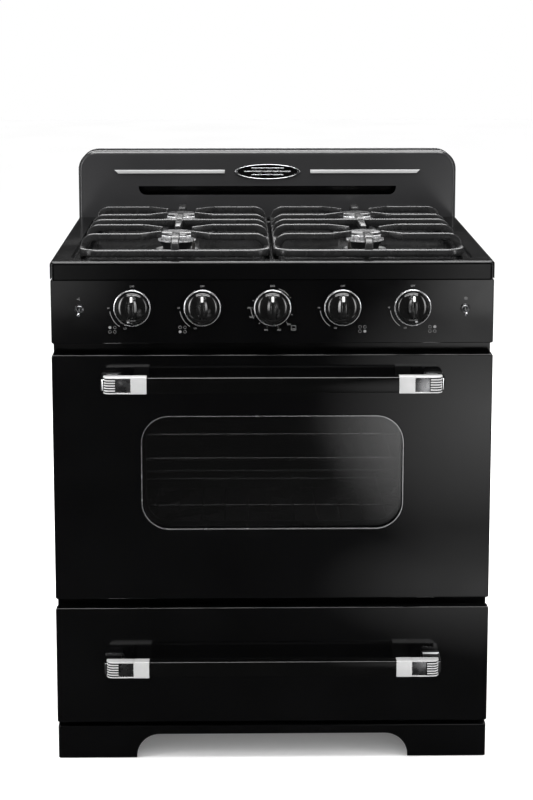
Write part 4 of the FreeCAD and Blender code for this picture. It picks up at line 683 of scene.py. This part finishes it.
def handle_end(bm, sizes, face, z):
    """Right-hand bright end: satin sleeve, sunk field, fluted corner and post."""
    x1 = sizes.length / 2
    x0 = x1 - sizes.end_length
    y0 = face - sizes.proud
    y1 = y0 + sizes.depth
    h = sizes.height / 2
    sunk = sizes.sunk
    sleeve_end = x0 + sizes.sleeve
    field_end = sleeve_end + sizes.field
    cap_end = x1 - CAP_INSET
    soft_block(bm, (x0, y0, z - h), (sleeve_end, y1, z + h), 0.7 * MM)
    mark_new(bm, set(), SATIN)
    sleeve = set(bm.faces)
    soft_block(bm, (sleeve_end - HANDLE_LAP, y0 + sunk, z - h + sunk), (field_end, y1, z + h - sunk),
               0.3 * MM)
    mark_new(bm, sleeve, FIELD)
    field = set(bm.faces)
    wrapped_slab(bm, (field_end - HANDLE_LAP, cap_end - sunk), (y0 + sunk, y1),
                 (z - h + sunk, z + h - sunk), CORE_CORNER, 1.5 * MM)
    # Painted shade: the sunk core between the flutes takes the near-black chrome.
    mark_new(bm, field, SHADED)
    core = set(bm.faces)
    for low, high in ((z - h, z - h + CAP_BORDER), (z + h - CAP_BORDER, z + h)):
        wrapped_slab(bm, (sleeve_end, cap_end), (y0, y1), (low, high), CAP_CORNER, 1.2 * MM)
    pitch = 2 * (h - CAP_BORDER) / (2 * sizes.flutes - 1)
    for i in range(1, sizes.flutes):
        low = z - h + CAP_BORDER + pitch * (2 * i - 1)
        wrapped_slab(bm, (field_end + 0.5 * MM, cap_end), (y0, y1), (low, low + pitch), CAP_CORNER,
                     0.5 * MM)
    mark_new(bm, core, SATIN)
    raised = set(bm.faces)
    wrapped_slab(bm, (x1 - POST_LENGTH, x1), (y1 - POST_LAP, face), (z - POST_HALF_H, z + POST_HALF_H),
                 8 * MM, 1 * MM)
    half = POST_HALF_H + POST_FLANGE
    verts = block(bm, (x1 - POST_LENGTH - 3 * MM, face - POST_FLANGE, z - half), (x1, face, z + half))
    bevel(bm, along(edges_of(set(verts)), Y), 3 * MM)
    mark_new(bm, raised, POST)


def build_handle(sizes, panel, face):
    """Two bright ends, as mirror images, and the black bar between them."""
    ends = panel + "_handle_ends"
    bar = panel + "_handle_bar"
    bm = bmesh.new()
    handle_end(bm, sizes, face, middle(ends).z)
    bmesh.ops.remove_doubles(bm, verts=bm.verts, dist=SMALL)
    bmesh.ops.recalc_face_normals(bm, faces=bm.faces)
    mirrored = bmesh.ops.duplicate(bm, geom=list(bm.verts) + list(bm.edges) + list(bm.faces))["geom"]
    bmesh.ops.scale(bm, vec=(-1, 1, 1), verts=verts_in(mirrored))
    bmesh.ops.reverse_faces(bm, faces=[g for g in mirrored if isinstance(g, bmesh.types.BMFace)])
    metals = [FINISHES[key] for key in HANDLE_METALS]
    finish_piece(bm, ends + "_fluted", metals, panel, (ends,), angle=30, outward=False)
    bm = bmesh.new()
    verts = block(bm, *corners(bar))
    bevel(bm, along(edges_of(set(verts)), X), 2.5 * MM)
    finish_piece(bm, bar + "_grip", [FINISHES["grip_black"]], panel, (bar,))


# ---------------------------------------------------------------- grates
BAR_EDGE = 2.2 * MM
BAR_BEND = 6 * MM
BAR_TAPER = 0.75
BAR_OVERLAP = 0.3
RAIL_EDGE = 3.2 * MM
RAIL_LIFT = 1 * MM
RAIL_HEIGHT = 13 * MM
BAR_REACH = 59 * MM
ELBOW_REACH = 62 * MM
BURNER_X = 168 * MM
GRATE_FOOT_INSET = 60 * MM


def arch_bar(bm, start, end, across, low, top, base, width, axis):
    """Bar that climbs off a rail at start in a curve, then runs level to end."""
    way = math.copysign(1.0, end - start)
    half = width / 2
    points = [(start - way * 4 * MM, base), (start + way * 4 * MM, base), (start + way * 15 * MM, low),
              (end, low), (end, top), (start + way * 13 * MM, top), (start - way * 2 * MM, top - 9 * MM),
              (start - way * 4 * MM, base + 6 * MM)]
    if axis == 0:
        spots = [Vector((a, across - half, c)) for a, c in points]
        depth = Vector((0, width, 0))
    else:
        spots = [Vector((across - half, a, c)) for a, c in points]
        depth = Vector((width, 0, 0))
    before = set(bm.verts)
    face = outline_face(bm, spots)
    bevel(bm, [face.verts[2], face.verts[5], face.verts[6]], BAR_BEND, 4, "VERTICES")
    flat = [f for f in bm.faces if not (set(f.verts) & before)]
    push(bm, flat, depth)
    bevel(bm, sharp_in(new_edges(bm, before)), BAR_EDGE, 3)


def level_bar(bm, a, b, low, top, width):
    """Straight level bar between two places, narrower at its far end."""
    a, b = Vector(a), Vector(b)
    run = b - a
    side = Vector((-run.y, run.x, 0)).normalized() * width / 2
    back = run.normalized() * width * BAR_OVERLAP
    tip = side * BAR_TAPER
    spots = [a - side - back, b - tip, b + tip, a + side - back]
    before = set(bm.verts)
    face = outline_face(bm, [Vector((p.x, p.y, low)) for p in spots])
    push(bm, [face], Vector((0, 0, top - low)))
    bevel(bm, new_edges(bm, before), BAR_EDGE, 3)


def rail_ring(bm, low, high, width, corner):
    """Closed rail with rounded corners and soft edges."""
    before = set(bm.verts)
    verts = block(bm, low, high)
    bevel(bm, along(edges_of(set(verts)), Z), corner, 12)
    caps = [f for f in bm.faces if not (set(f.verts) & before) and abs(f.normal.z) > CLEAR_ANGLE]
    open_up(bm, caps, width)
    bevel(bm, sharp_in(new_edges(bm, before)), RAIL_EDGE)


def build_grate(sizes, side):
    """One cast grate: rail, cross bars, fingers over two burners and feet."""
    name = "grate_" + side
    low, high = corners(name)
    sign = 1.0 if side == "right" else -1.0
    rail_w, bar_w, finger_w = sizes.rail_width, sizes.bar_width, sizes.finger_width
    gap = sizes.finger_gap
    near = gap * 0.7
    rail_low = RIM_Z + RAIL_LIFT
    base = rail_low + 2 * MM
    top = high.z
    under = top - sizes.bar_height
    burner_x = sign * BURNER_X
    ys = sorted(c.y for c in burner_centres() if c.x * sign > 0)
    mid_y = sum(ys) / 2
    bm = bmesh.new()
    rail_ring(bm, Vector((low.x, low.y, rail_low)), Vector((high.x, high.y, rail_low + RAIL_HEIGHT)),
              rail_w, sizes.corner)
    x_left, x_right = low.x + rail_w / 2, high.x - rail_w / 2
    centre_x = (x_left + x_right) / 2
    for start in (x_left, x_right):
        way = math.copysign(1.0, centre_x - start)
        elbow = burner_x - way * ELBOW_REACH
        arch_bar(bm, start, centre_x, mid_y, under, top, base, bar_w, 0)
        for y in ys:
            for dy in (-BAR_REACH, BAR_REACH):
                arch_bar(bm, start, elbow, y + dy, under, top, base, bar_w, 0)
                tip = (burner_x - way * near, y + math.copysign(near, dy), 0)
                level_bar(bm, (elbow, y + dy, 0), tip, under, top, bar_w)
    for start, y in ((low.y + rail_w / 2, ys[0] - gap), (high.y - rail_w / 2, ys[1] + gap)):
        arch_bar(bm, start, y, burner_x, under, top, base, finger_w, 1)
    for y in (ys[0] + gap, ys[1] - gap):
        level_bar(bm, (burner_x, mid_y, 0), (burner_x, y, 0), under, top, finger_w)
    foot = in_mm([(0, 0), (4.6, 0), (5.4, 0.8)]) + [(5.4 * MM, rail_low + 3 * MM - low.z)]
    for x in (x_left, x_right):
        for y in (low.y + GRATE_FOOT_INSET, high.y - GRATE_FOOT_INSET):
            lathe(bm, foot, Vector((x, y, low.z)), Z, 24)
    finish_piece(bm, name + "_casting", [FINISHES["cast_iron"]], name, (name,), angle=50)


# ---------------------------------------------------------------- burners
HEAD_TEETH = 30
HEAD_TOOTH = in_mm([(30, -2.75, 3), (33.3, 2.75, 11.7)])
BURNER_INSET = 38 * MM
BASE_HEIGHT = 34 * MM
HEAD_PROFILE = in_mm([(23.5, 0), (32.8, 0), (33.5, 0.7), (33.5, 2.6), (32.6, 3.2), (31.6, 3.4), (31.6, 11),
                      (31, 11.8), (24, 11.8), (23.5, 11)])


def burner_centres():
    """Middle of each burner on the pads, from the burner bases' box."""
    low, high = corners("burner_bases")
    xs = (low.x + BURNER_INSET, high.x - BURNER_INSET)
    ys = (low.y + BURNER_INSET, high.y - BURNER_INSET)
    return [Vector((x, y, low.z)) for x in xs for y in ys]


def base_profile(foot, flange, neck_top):
    """Section of a burner's base: mixing tube, flange on the pad and flared neck."""
    steps = [(14, foot, 6), (14, foot, 0), (24, foot, 0), (24, flange, -3), (38, flange, -3),
             (38, flange, -1.2), (37.4, flange, -0.4), (36, flange, 0), (25.5, flange, 0),
             (24.6, flange, 1), (30.6, neck_top, -0.5), (30.6, neck_top, 0), (14, neck_top, 0)]
    return [(r * MM, level + d * MM) for r, level, d in steps]


def cap_profile(top, seat):
    """Section of a burner's cap, from its crown to the hub inside the head."""
    steps = [(0, top, -0.3), (12, top, -0.1), (22, top, 0), (26.5, top, -0.7), (28.8, top, -2),
             (30, top, -3.6), (29.6, seat, 0.3), (28.6, seat, 0), (22, seat, 0), (22, seat, -4),
             (0, seat, -4)]
    return [(r * MM, level + d * MM) for r, level, d in steps]


def build_burners():
    """Castings with flared necks, ported heads and enamelled caps of the four burners."""
    foot = corners("burner_bases")[0].z
    head_low, head_top = (corner.z for corner in corners("burner_heads"))
    cap_top = corners("burner_caps")[1].z
    bases, heads, caps = bmesh.new(), bmesh.new(), bmesh.new()
    for spot in burner_centres():
        axis_foot = Vector((spot.x, spot.y, 0))
        seat = Vector((spot.x, spot.y, head_low))
        lathe(bases, base_profile(foot, foot + BASE_HEIGHT, head_low), axis_foot, Z, 72, closed=True)
        lathe(heads, HEAD_PROFILE, seat, Z, 72, closed=True)
        for i in range(HEAD_TEETH):
            before = set(heads.verts)
            soft_block(heads, *HEAD_TOOTH, 0.5 * MM, 2)
            fresh = [v for v in heads.verts if v not in before]
            turn = Matrix.Translation(seat) @ Matrix.Rotation(math.tau * i / HEAD_TEETH, 4, "Z")
            bmesh.ops.transform(heads, matrix=turn, verts=fresh)
        lathe(caps, cap_profile(cap_top, head_top), axis_foot, Z, 72)
    # Painted shade: the bases are coloured near black for the shadow under the heads.
    finish_piece(bases, "burner_base_castings", [FINISHES["steel_painted_shade"]], CHASSIS,
                 ("burner_bases",))
    finish_piece(heads, "burner_head_rings", [FINISHES["head_alloy"]], CHASSIS,
                 ("burner_heads",))
    finish_piece(caps, "burner_cap_discs", [FINISHES["cap_enamel"]], CHASSIS,
                 ("burner_caps",), angle=45)


# ---------------------------------------------------------------- window
def build_window_bead():
    """Thin bright bead round the window opening."""
    low, high = corners("window_glass")
    lap = 12 * MM
    corner = 48 * MM
    wall = 1.3 * MM
    depth = 1.4 * MM
    y = DOOR_FACE + 0.9 * MM
    bm = bmesh.new()
    verts = block(bm, (low.x + lap, y, low.z + lap), (high.x - lap, y + depth, high.z - lap))
    bevel(bm, along(edges_of(set(verts)), Y), corner, 16)
    open_up(bm, [f for f in bm.faces if abs(f.normal.y) > CLEAR_ANGLE], wall)
    finish_piece(bm, "window_bead", [FINISHES["soft_chrome"]], "door")


# ---------------------------------------------------------------- backguard trim
STRIP_OUTLINE = in_mm([(86, -3.5), (300, -3.5), (307, 3.5), (86, 3.5)])
STRIP_PROUD = 2 * MM
ORNAMENT_HALF_W = 66 * MM
ORNAMENT_HALF_H = 15 * MM
ORNAMENT_BARS = in_mm([(-6.6, 33.0), (0.0, 47.0), (6.6, 33.0)])
ORNAMENT_RING = [(1.0, 0.0), (1.0, -1.2 * MM), (0.985, -2.0 * MM), (0.955, -2.4 * MM),
                 (0.925, -2.0 * MM), (0.91, -1.0 * MM), (0.91, 0.0)]
ORNAMENT_FIELD = [(0, -0.8 * MM), (0.93, -0.8 * MM), (0.93, 0.0), (0, 0.0)]


def build_trim():
    """Bright strips with slanted ends, and an oval ornament with three bars."""
    z = TRIM_Z
    face = GUARD_FACE
    origin = Vector((0, 0, 0))
    bm = bmesh.new()
    for side in (-1, 1):
        before = set(bm.verts)
        flat = outline_face(bm, [Vector((side * a, face, z + b)) for a, b in STRIP_OUTLINE])
        push(bm, [flat], Vector((0, -STRIP_PROUD, 0)))
        front = [e for e in new_edges(bm, before) if all(v.co.y < face - STRIP_PROUD / 2 for v in e.verts)]
        bevel(bm, front, 0.8 * MM, 3)
    finish_piece(bm, "backguard_strips", [FINISHES["satin_chrome"]], CHASSIS, ("backguard_trim",))
    bm = bmesh.new()
    lathe(bm, ORNAMENT_RING, origin, Y, 96, closed=True)
    oval = Matrix.Translation((0, face, z)) @ Matrix.Diagonal((ORNAMENT_HALF_W, 1.0, ORNAMENT_HALF_H, 1))
    bmesh.ops.transform(bm, matrix=oval, verts=bm.verts)
    bar_half = 1.5 * MM
    for dz, half in ORNAMENT_BARS:
        level = z + dz
        soft_block(bm, (-half, face - 2.8 * MM, level - bar_half), (half, face - 0.2 * MM, level + bar_half),
                   0.9 * MM)
    finish_piece(bm, "backguard_ornament", [FINISHES["dull_chrome"]], CHASSIS)
    bm = bmesh.new()
    lathe(bm, ORNAMENT_FIELD, origin, Y, 96)
    bmesh.ops.transform(bm, matrix=oval, verts=bm.verts)
    finish_piece(bm, "backguard_ornament_field", [FINISHES["enamel_black"]], CHASSIS)


# ---------------------------------------------------------------- printed marks
PRINT_PROUD = 0.12 * MM
PRINT_THICK = 0.08 * MM
WORD_RING = 37.5 * MM
TICK_START = 33.6 * MM
BURNER_ICON_X = (30.0, 38.3)
BURNER_ICON_Z = (-33.5, -41.1)


def clock(centre, angle, radius):
    """Place on a dial; angles run clockwise from the top, in degrees."""
    turn = math.radians(angle)
    return centre + Vector((math.sin(turn), 0, math.cos(turn))) * radius


def ring_mark(bm, centre, radius, width, start=0.0, end=360.0):
    """Printed ring or arc."""
    a = bm.verts.new(clock(centre, start, radius - width / 2))
    b = bm.verts.new(clock(centre, start, radius + width / 2))
    edge = bm.edges.new((a, b))
    steps = max(6, int(abs(end - start) / 6))
    whole = abs(end - start) > 359
    bmesh.ops.spin(bm, geom=[a, b, edge], cent=centre, axis=(0, 1, 0), dvec=(0, 0, 0),
                   angle=math.radians(end - start), steps=steps, use_merge=whole, use_duplicate=False)


def dot_mark(bm, centre, radius):
    """Printed dot."""
    turn = Matrix.Translation(centre) @ Matrix.Rotation(math.pi / 2, 4, "X")
    bmesh.ops.create_circle(bm, cap_ends=True, segments=20, radius=radius, matrix=turn)


def bar_mark(bm, centre, angle, inner, outer, width):
    """Short printed tick between two radii."""
    side = clock(Vector((0, 0, 0)), angle + 90, width / 2)
    inside, outside = clock(centre, angle, inner), clock(centre, angle, outer)
    outline_face(bm, [inside - side, inside + side, outside + side, outside - side])


def word_mark(bm, text, centre, height):
    """Letters or numbers, centred on a place."""
    curve = bpy.data.curves.new("mark", "FONT")
    curve.body = text
    curve.size = height * 1.4
    curve.align_x = "CENTER"
    curve.align_y = "CENTER"
    curve.resolution_u = 3
    holder = bpy.data.objects.new("mark", curve)
    mesh = bpy.data.meshes.new_from_object(holder)
    turn = Matrix.Translation(centre) @ Matrix.Rotation(math.pi / 2, 4, "X")
    mesh.transform(turn)
    bm.from_mesh(mesh)
    bpy.data.objects.remove(holder)
    bpy.data.curves.remove(curve)
    bpy.data.meshes.remove(mesh)


def burner_marks(bm, centre, side, filled):
    """OFF, HI and LO, the flame arc and the four-burner icon of one knob."""
    word_mark(bm, "OFF", clock(centre, 0, WORD_RING), 3.2 * MM)
    word_mark(bm, "HI", clock(centre, 270, 40.5 * MM), 3.0 * MM)
    ring_mark(bm, centre, 38.5 * MM, 0.9 * MM, 214, 262)
    word_mark(bm, "LO", clock(centre, 199, WORD_RING), 2.8 * MM)
    for col, x in enumerate(sorted(side * x for x in BURNER_ICON_X)):
        for row, z in enumerate(BURNER_ICON_Z):
            spot = centre + Vector((x, 0, z)) * MM
            if (col, row) == filled:
                dot_mark(bm, spot, 2.5 * MM)
            else:
                ring_mark(bm, spot, 2.4 * MM, 0.4 * MM)


def oven_marks(bm, centre):
    """Heat scale of the middle knob, and its oven icon."""
    word_mark(bm, "OFF", clock(centre, 0, WORD_RING), 3.6 * MM)
    for angle, text in ((270, "200"), (246, "300"), (196, "400"), (164, "450"), (136, "500")):
        word_mark(bm, text, clock(centre, angle, 40 * MM), 3.2 * MM)
        bar_mark(bm, centre, angle, TICK_START, 35.4 * MM, 0.7 * MM)
    for angle in (291, 220, 110, 60, 35):
        bar_mark(bm, centre, angle, TICK_START, 36.5 * MM, 0.8 * MM)
    ring_mark(bm, centre, 34.6 * MM, 0.9 * MM, 18, 52)
    ring_mark(bm, centre, 37.0 * MM, 0.8 * MM, 240, 268)
    spot = centre + Vector((36 * MM, 0, -35 * MM))
    icon_half = 4.2 * MM
    for angle in (0, 90, 180, 270):
        bar_mark(bm, spot, angle, 3.6 * MM, icon_half, 2 * icon_half)
    bar_mark(bm, spot + Vector((0, 0, -1.6 * MM)), 0, -0.4 * MM, 0.4 * MM, 4.6 * MM)


def switch_marks(bm):
    """A spark beside the left switch and a lamp beside the right one."""
    z = middle("switch_bodies").z + 17 * MM
    left = Vector((middle("toggle_left").x - 1 * MM, PANEL_FACE, z))
    for angle in (20, 140, 260):
        bar_mark(bm, left, angle, 0.2 * MM, 3.0 * MM, 0.7 * MM)
    right = Vector((middle("toggle_right").x + 1 * MM, PANEL_FACE, z))
    ring_mark(bm, right, 1.7 * MM, 0.6 * MM)
    for angle in range(0, 360, 60):
        bar_mark(bm, right, angle, 2.6 * MM, 3.8 * MM, 0.5 * MM)


def build_marks():
    """All printed marks of the control panel, as one thin layer of ink."""
    bm = bmesh.new()
    spots = [Vector((middle("valve_stem_%d" % i).x, PANEL_FACE, KNOB_Z)) for i in KNOB_NUMBERS]
    for i, filled in ((0, (0, 0)), (1, (0, 1)), (3, (1, 1)), (4, (1, 0))):
        burner_marks(bm, spots[i], -1 if i < 2 else 1, filled)
    oven_marks(bm, spots[2])
    switch_marks(bm)
    bmesh.ops.remove_doubles(bm, verts=bm.verts, dist=SMALL)
    bmesh.ops.translate(bm, verts=bm.verts, vec=(0, -PRINT_PROUD, 0))
    for face in bm.faces:
        face.normal_update()
        if face.normal.y > 0:
            face.normal_flip()
    push(bm, list(bm.faces), Vector((0, -PRINT_THICK, 0)))
    finish_piece(bm, "control_panel_marks", [FINISHES["ink"]], CHASSIS)


# ---------------------------------------------------------------- kept CAD pieces
def dress_nodes():
    """Gives every CAD node the finish of its material slot, and the backguard a lighter satin enamel with
    painted light.
    """
    slots = {part["node"]: part["material_slot"] for part in frame["record"]["subparts"]}
    # Painted light: the backguard takes the lighter enamel instead of its slot's finish.
    slots["backguard_shell"] = "guard_enamel_painted_light"
    for name, piece in NODES.items():
        material = FINISHES[slots[name]]
        for holder in piece.material_slots:
            holder.material = material


# ---------------------------------------------------------------- stage
def fade_out(light):
    """Makes an area light oval, and weaker from its middle towards its edge."""
    light.shape = "ELLIPSE"
    light.use_nodes = True
    tree = light.node_tree
    across = node(tree, "ShaderNodeNewGeometry").outputs["Parametric"]
    centred = node(tree, "ShaderNodeMapping")
    centred.inputs["Location"].default_value = (-1, -1, 0)
    centred.inputs["Scale"].default_value = (2, 2, 0)
    fall = node(tree, "ShaderNodeTexGradient", gradient_type="SPHERICAL")
    tree.links.new(across, centred.inputs["Vector"])
    tree.links.new(centred.outputs["Vector"], fall.inputs["Vector"])
    tree.links.new(fall.outputs["Fac"], tree.nodes["Emission"].inputs["Strength"])


def link(name, data):
    """New object in the scene, for a mesh, a light or a camera."""
    made = bpy.data.objects.new(name, data)
    bpy.context.scene.collection.objects.link(made)
    return made


def soft_box(name, place, target, size, power, fade=False):
    """Area light at a place, turned to a target and hidden from the camera."""
    light = bpy.data.lights.new(name, "AREA")
    light.shape = "RECTANGLE"
    light.size, light.size_y = size
    light.energy = power
    if fade:
        fade_out(light)
    lamp = link(name, light)
    way = Vector(target) - Vector(place)
    lamp.visible_camera = False
    lamp.matrix_world = Matrix.Translation(place) @ way.to_track_quat("-Z", "Y").to_matrix().to_4x4()


def build_world():
    """Pale surroundings that gloss sees only dimly."""
    world = bpy.data.worlds.new("studio")
    bpy.context.scene.world = world
    world.use_nodes = True
    tree = world.node_tree
    tree.nodes.clear()
    out = node(tree, "ShaderNodeOutputWorld")
    mix = node(tree, "ShaderNodeMixShader")
    path = node(tree, "ShaderNodeLightPath")
    dim = node(tree, "ShaderNodeBackground", Color=(0.022, 0.022, 0.0222, 1), Strength=1.0)
    pale = node(tree, "ShaderNodeBackground", Color=(1.0, 1.0, 1.0, 1), Strength=1.0)
    tree.links.new(path.outputs["Is Glossy Ray"], mix.inputs[0])
    tree.links.new(pale.outputs[0], mix.inputs[1])
    tree.links.new(dim.outputs[0], mix.inputs[2])
    tree.links.new(mix.outputs[0], out.inputs["Surface"])


def build_floor():
    """Plain pale floor that gloss sees only dimly."""
    bm = bmesh.new()
    bmesh.ops.create_grid(bm, x_segments=1, y_segments=1, size=14.0)
    mesh = bpy.data.meshes.new("floor")
    bm.to_mesh(mesh)
    bm.free()
    material, tree, shader, coordinates = blank("floor_sheet")
    shade = spread(tree, noise(tree, coordinates, 1.5), 0.3, 0.7, 0.0, 1.0)
    mixed = blend_colours(tree, shade, (0.93, 0.93, 0.93), (0.96, 0.96, 0.96))
    path = node(tree, "ShaderNodeLightPath")
    seen = blend_colours(tree, path.outputs["Is Glossy Ray"], mixed, (0.008, 0.008, 0.008))
    tree.links.new(seen, shader.inputs["Base Color"])
    shader.inputs["Roughness"].default_value = 0.7
    shader.inputs["Specular IOR Level"].default_value = 0.1
    shader.inputs["Emission Strength"].default_value = 0.12
    tree.links.new(seen, shader.inputs["Emission Color"])
    mesh.materials.append(material)
    link("floor", mesh)


def build_camera(sizes):
    """Camera at the viewing angle of the main view."""
    data = bpy.data.cameras.new("camera")
    data.lens = sizes.lens
    data.sensor_width = 36.0
    data.shift_y = sizes.rise
    data.clip_end = 60.0
    data.dof.use_dof = False
    camera = link("camera", data)
    camera.location = (sizes.side, DOOR_FACE - sizes.distance, sizes.height)
    camera.rotation_euler = (math.pi / 2 - sizes.pitch, 0, -sizes.yaw)
    bpy.context.scene.camera = camera


def build_stage(sizes):
    """Surroundings, floor, lights and camera."""
    bpy.context.scene.view_settings.view_transform = "Standard"
    build_world()
    build_floor()
    soft_box("top_box", (0.0, -0.12, 3.0), (0, -0.12, 0.8), (2.6, 1.25), 125)
    soft_box("front_top_strip", (0.0, -1.05, 2.5), (0, -0.34, 0.8), (2.2, 0.22), 20)
    soft_box("left_strip", (-1.4, -0.78, 1.12), (0, -0.34, 1.12), (0.26, 2.4), 26, True)
    soft_box("right_strip", (1.4, -0.8, 1.12), (0, -0.34, 1.12), (0.26, 2.4), 18, True)
    soft_box("right_glow", (0.54, -1.35, 0.37), (0.54, 0.0, 0.37), (0.84, 0.74), 2.3, True)
    soft_box("floor_glow", (0.5, -1.2, 0.004), (0.5, -1.2, 1.0), (0.8, 0.9), 1.6, True)
    soft_box("back_box", (0.0, 2.6, 2.5), (0.0, 0.35, 0.5), (3.0, 1.1), 75)
    for side in (-1, 1):
        soft_box("side_floor", (side * 1.6, 0.7, 0.004), (side * 1.6, 0.7, 1.0), (2.2, 2.2), 3.6, True)
        soft_box("side_wall", (side * 4.5, 0.5, 0.75), (0.0, 0.5, 0.75), (3.4, 1.5), 4.5, True)
    soft_box("far_left_box", (-0.95, -4.55, 0.2), (-0.95, 0.0, 0.2), (0.9, 0.7), 2.0, True)
    soft_box("far_right_box", (1.1, -4.55, 0.2), (1.1, 0.0, 0.2), (1.0, 0.8), 5.0, True)
    low, high = corners("oven_liner")
    soft_box("oven_fill", (0.0, low.y + 0.12, high.z - 0.03), (0, low.y + 0.1, low.z), (0.45, 0.1), 0.13)
    build_camera(sizes)


# ---------------------------------------------------------------- operators and panel
class BuildStep(bpy.types.Operator):
    """One step of the range's look."""
    bl_options = {"REGISTER", "UNDO"}


class RANGE_OT_finishes(BuildStep):
    """Make the finishes and put them on the CAD pieces"""
    bl_idname = "gas_range.finishes"
    bl_label = "Finishes"

    def execute(self, context):
        make_finishes(context.scene.range_finishes)
        dress_nodes()
        return {"FINISHED"}


class RANGE_OT_knobs(BuildStep):
    """Build the knobs, their pointers and their rings"""
    bl_idname = "gas_range.knobs"
    bl_label = "Knobs and rings"

    def execute(self, context):
        build_knobs(context.scene.range_knobs)
        build_rings(context.scene.range_knobs)
        return {"FINISHED"}


class RANGE_OT_switches(BuildStep):
    """Build the switch nuts and levers"""
    bl_idname = "gas_range.switches"
    bl_label = "Switches"

    def execute(self, context):
        build_switches()
        return {"FINISHED"}


class RANGE_OT_handles(BuildStep):
    """Build the door's and the drawer's handles"""
    bl_idname = "gas_range.handles"
    bl_label = "Handles"

    def execute(self, context):
        sizes = context.scene.range_handles
        build_handle(sizes, "door", DOOR_FACE)
        build_handle(sizes, "drawer", DRAWER_FACE)
        return {"FINISHED"}


class RANGE_OT_grates(BuildStep):
    """Build the two cast grates"""
    bl_idname = "gas_range.grates"
    bl_label = "Grates"

    def execute(self, context):
        for side in ("left", "right"):
            build_grate(context.scene.range_grates, side)
        return {"FINISHED"}


class RANGE_OT_burners(BuildStep):
    """Build the burner bases, heads and caps"""
    bl_idname = "gas_range.burners"
    bl_label = "Burners"

    def execute(self, context):
        build_burners()
        return {"FINISHED"}


class RANGE_OT_window(BuildStep):
    """Build the bead round the door's window"""
    bl_idname = "gas_range.window"
    bl_label = "Window bead"

    def execute(self, context):
        build_window_bead()
        return {"FINISHED"}


class RANGE_OT_trim(BuildStep):
    """Build the backguard's strips and ornament"""
    bl_idname = "gas_range.trim"
    bl_label = "Backguard trim"

    def execute(self, context):
        build_trim()
        return {"FINISHED"}


class RANGE_OT_marks(BuildStep):
    """Print the marks on the control panel"""
    bl_idname = "gas_range.marks"
    bl_label = "Printed marks"

    def execute(self, context):
        build_marks()
        return {"FINISHED"}


class RANGE_OT_stage(BuildStep):
    """Build the floor, lights and camera"""
    bl_idname = "gas_range.stage"
    bl_label = "Stage"

    def execute(self, context):
        build_stage(context.scene.range_stage)
        return {"FINISHED"}


class RANGE_PT_panel(bpy.types.Panel):
    """Steps and sizes of the range's look"""
    bl_idname = "RANGE_PT_panel"
    bl_label = "Gas range"
    bl_space_type = "VIEW_3D"
    bl_region_type = "UI"
    bl_category = "Gas range"

    def draw(self, context):
        for operator in OPERATORS:
            self.layout.operator(operator.bl_idname)
        for holder in SETTINGS:
            group = getattr(context.scene, holder)
            for key in group.__annotations__:
                self.layout.prop(group, key)


SETTINGS = {"range_knobs": KnobSizes, "range_handles": HandleSizes, "range_grates": GrateSizes,
            "range_finishes": FinishColours, "range_stage": StageSizes}
OPERATORS = (RANGE_OT_finishes, RANGE_OT_knobs, RANGE_OT_switches, RANGE_OT_handles, RANGE_OT_grates,
             RANGE_OT_burners, RANGE_OT_window, RANGE_OT_trim, RANGE_OT_marks, RANGE_OT_stage)


def register():
    """Registers the settings, the operators and the panel."""
    for group in SETTINGS.values():
        bpy.utils.register_class(group)
    for operator in OPERATORS:
        bpy.utils.register_class(operator)
    bpy.utils.register_class(RANGE_PT_panel)
    for holder, group in SETTINGS.items():
        setattr(bpy.types.Scene, holder, PointerProperty(type=group))


def unregister():
    """Takes the settings, the operators and the panel away again."""
    for holder in SETTINGS:
        delattr(bpy.types.Scene, holder)
    bpy.utils.unregister_class(RANGE_PT_panel)
    for operator in OPERATORS:
        bpy.utils.unregister_class(operator)
    for group in SETTINGS.values():
        bpy.utils.unregister_class(group)


def main():
    """Builds everything."""
    register()
    for operator in OPERATORS:
        group, name = operator.bl_idname.split(".")
        getattr(getattr(bpy.ops, group), name)()


if __name__ == "__main__":
    main()
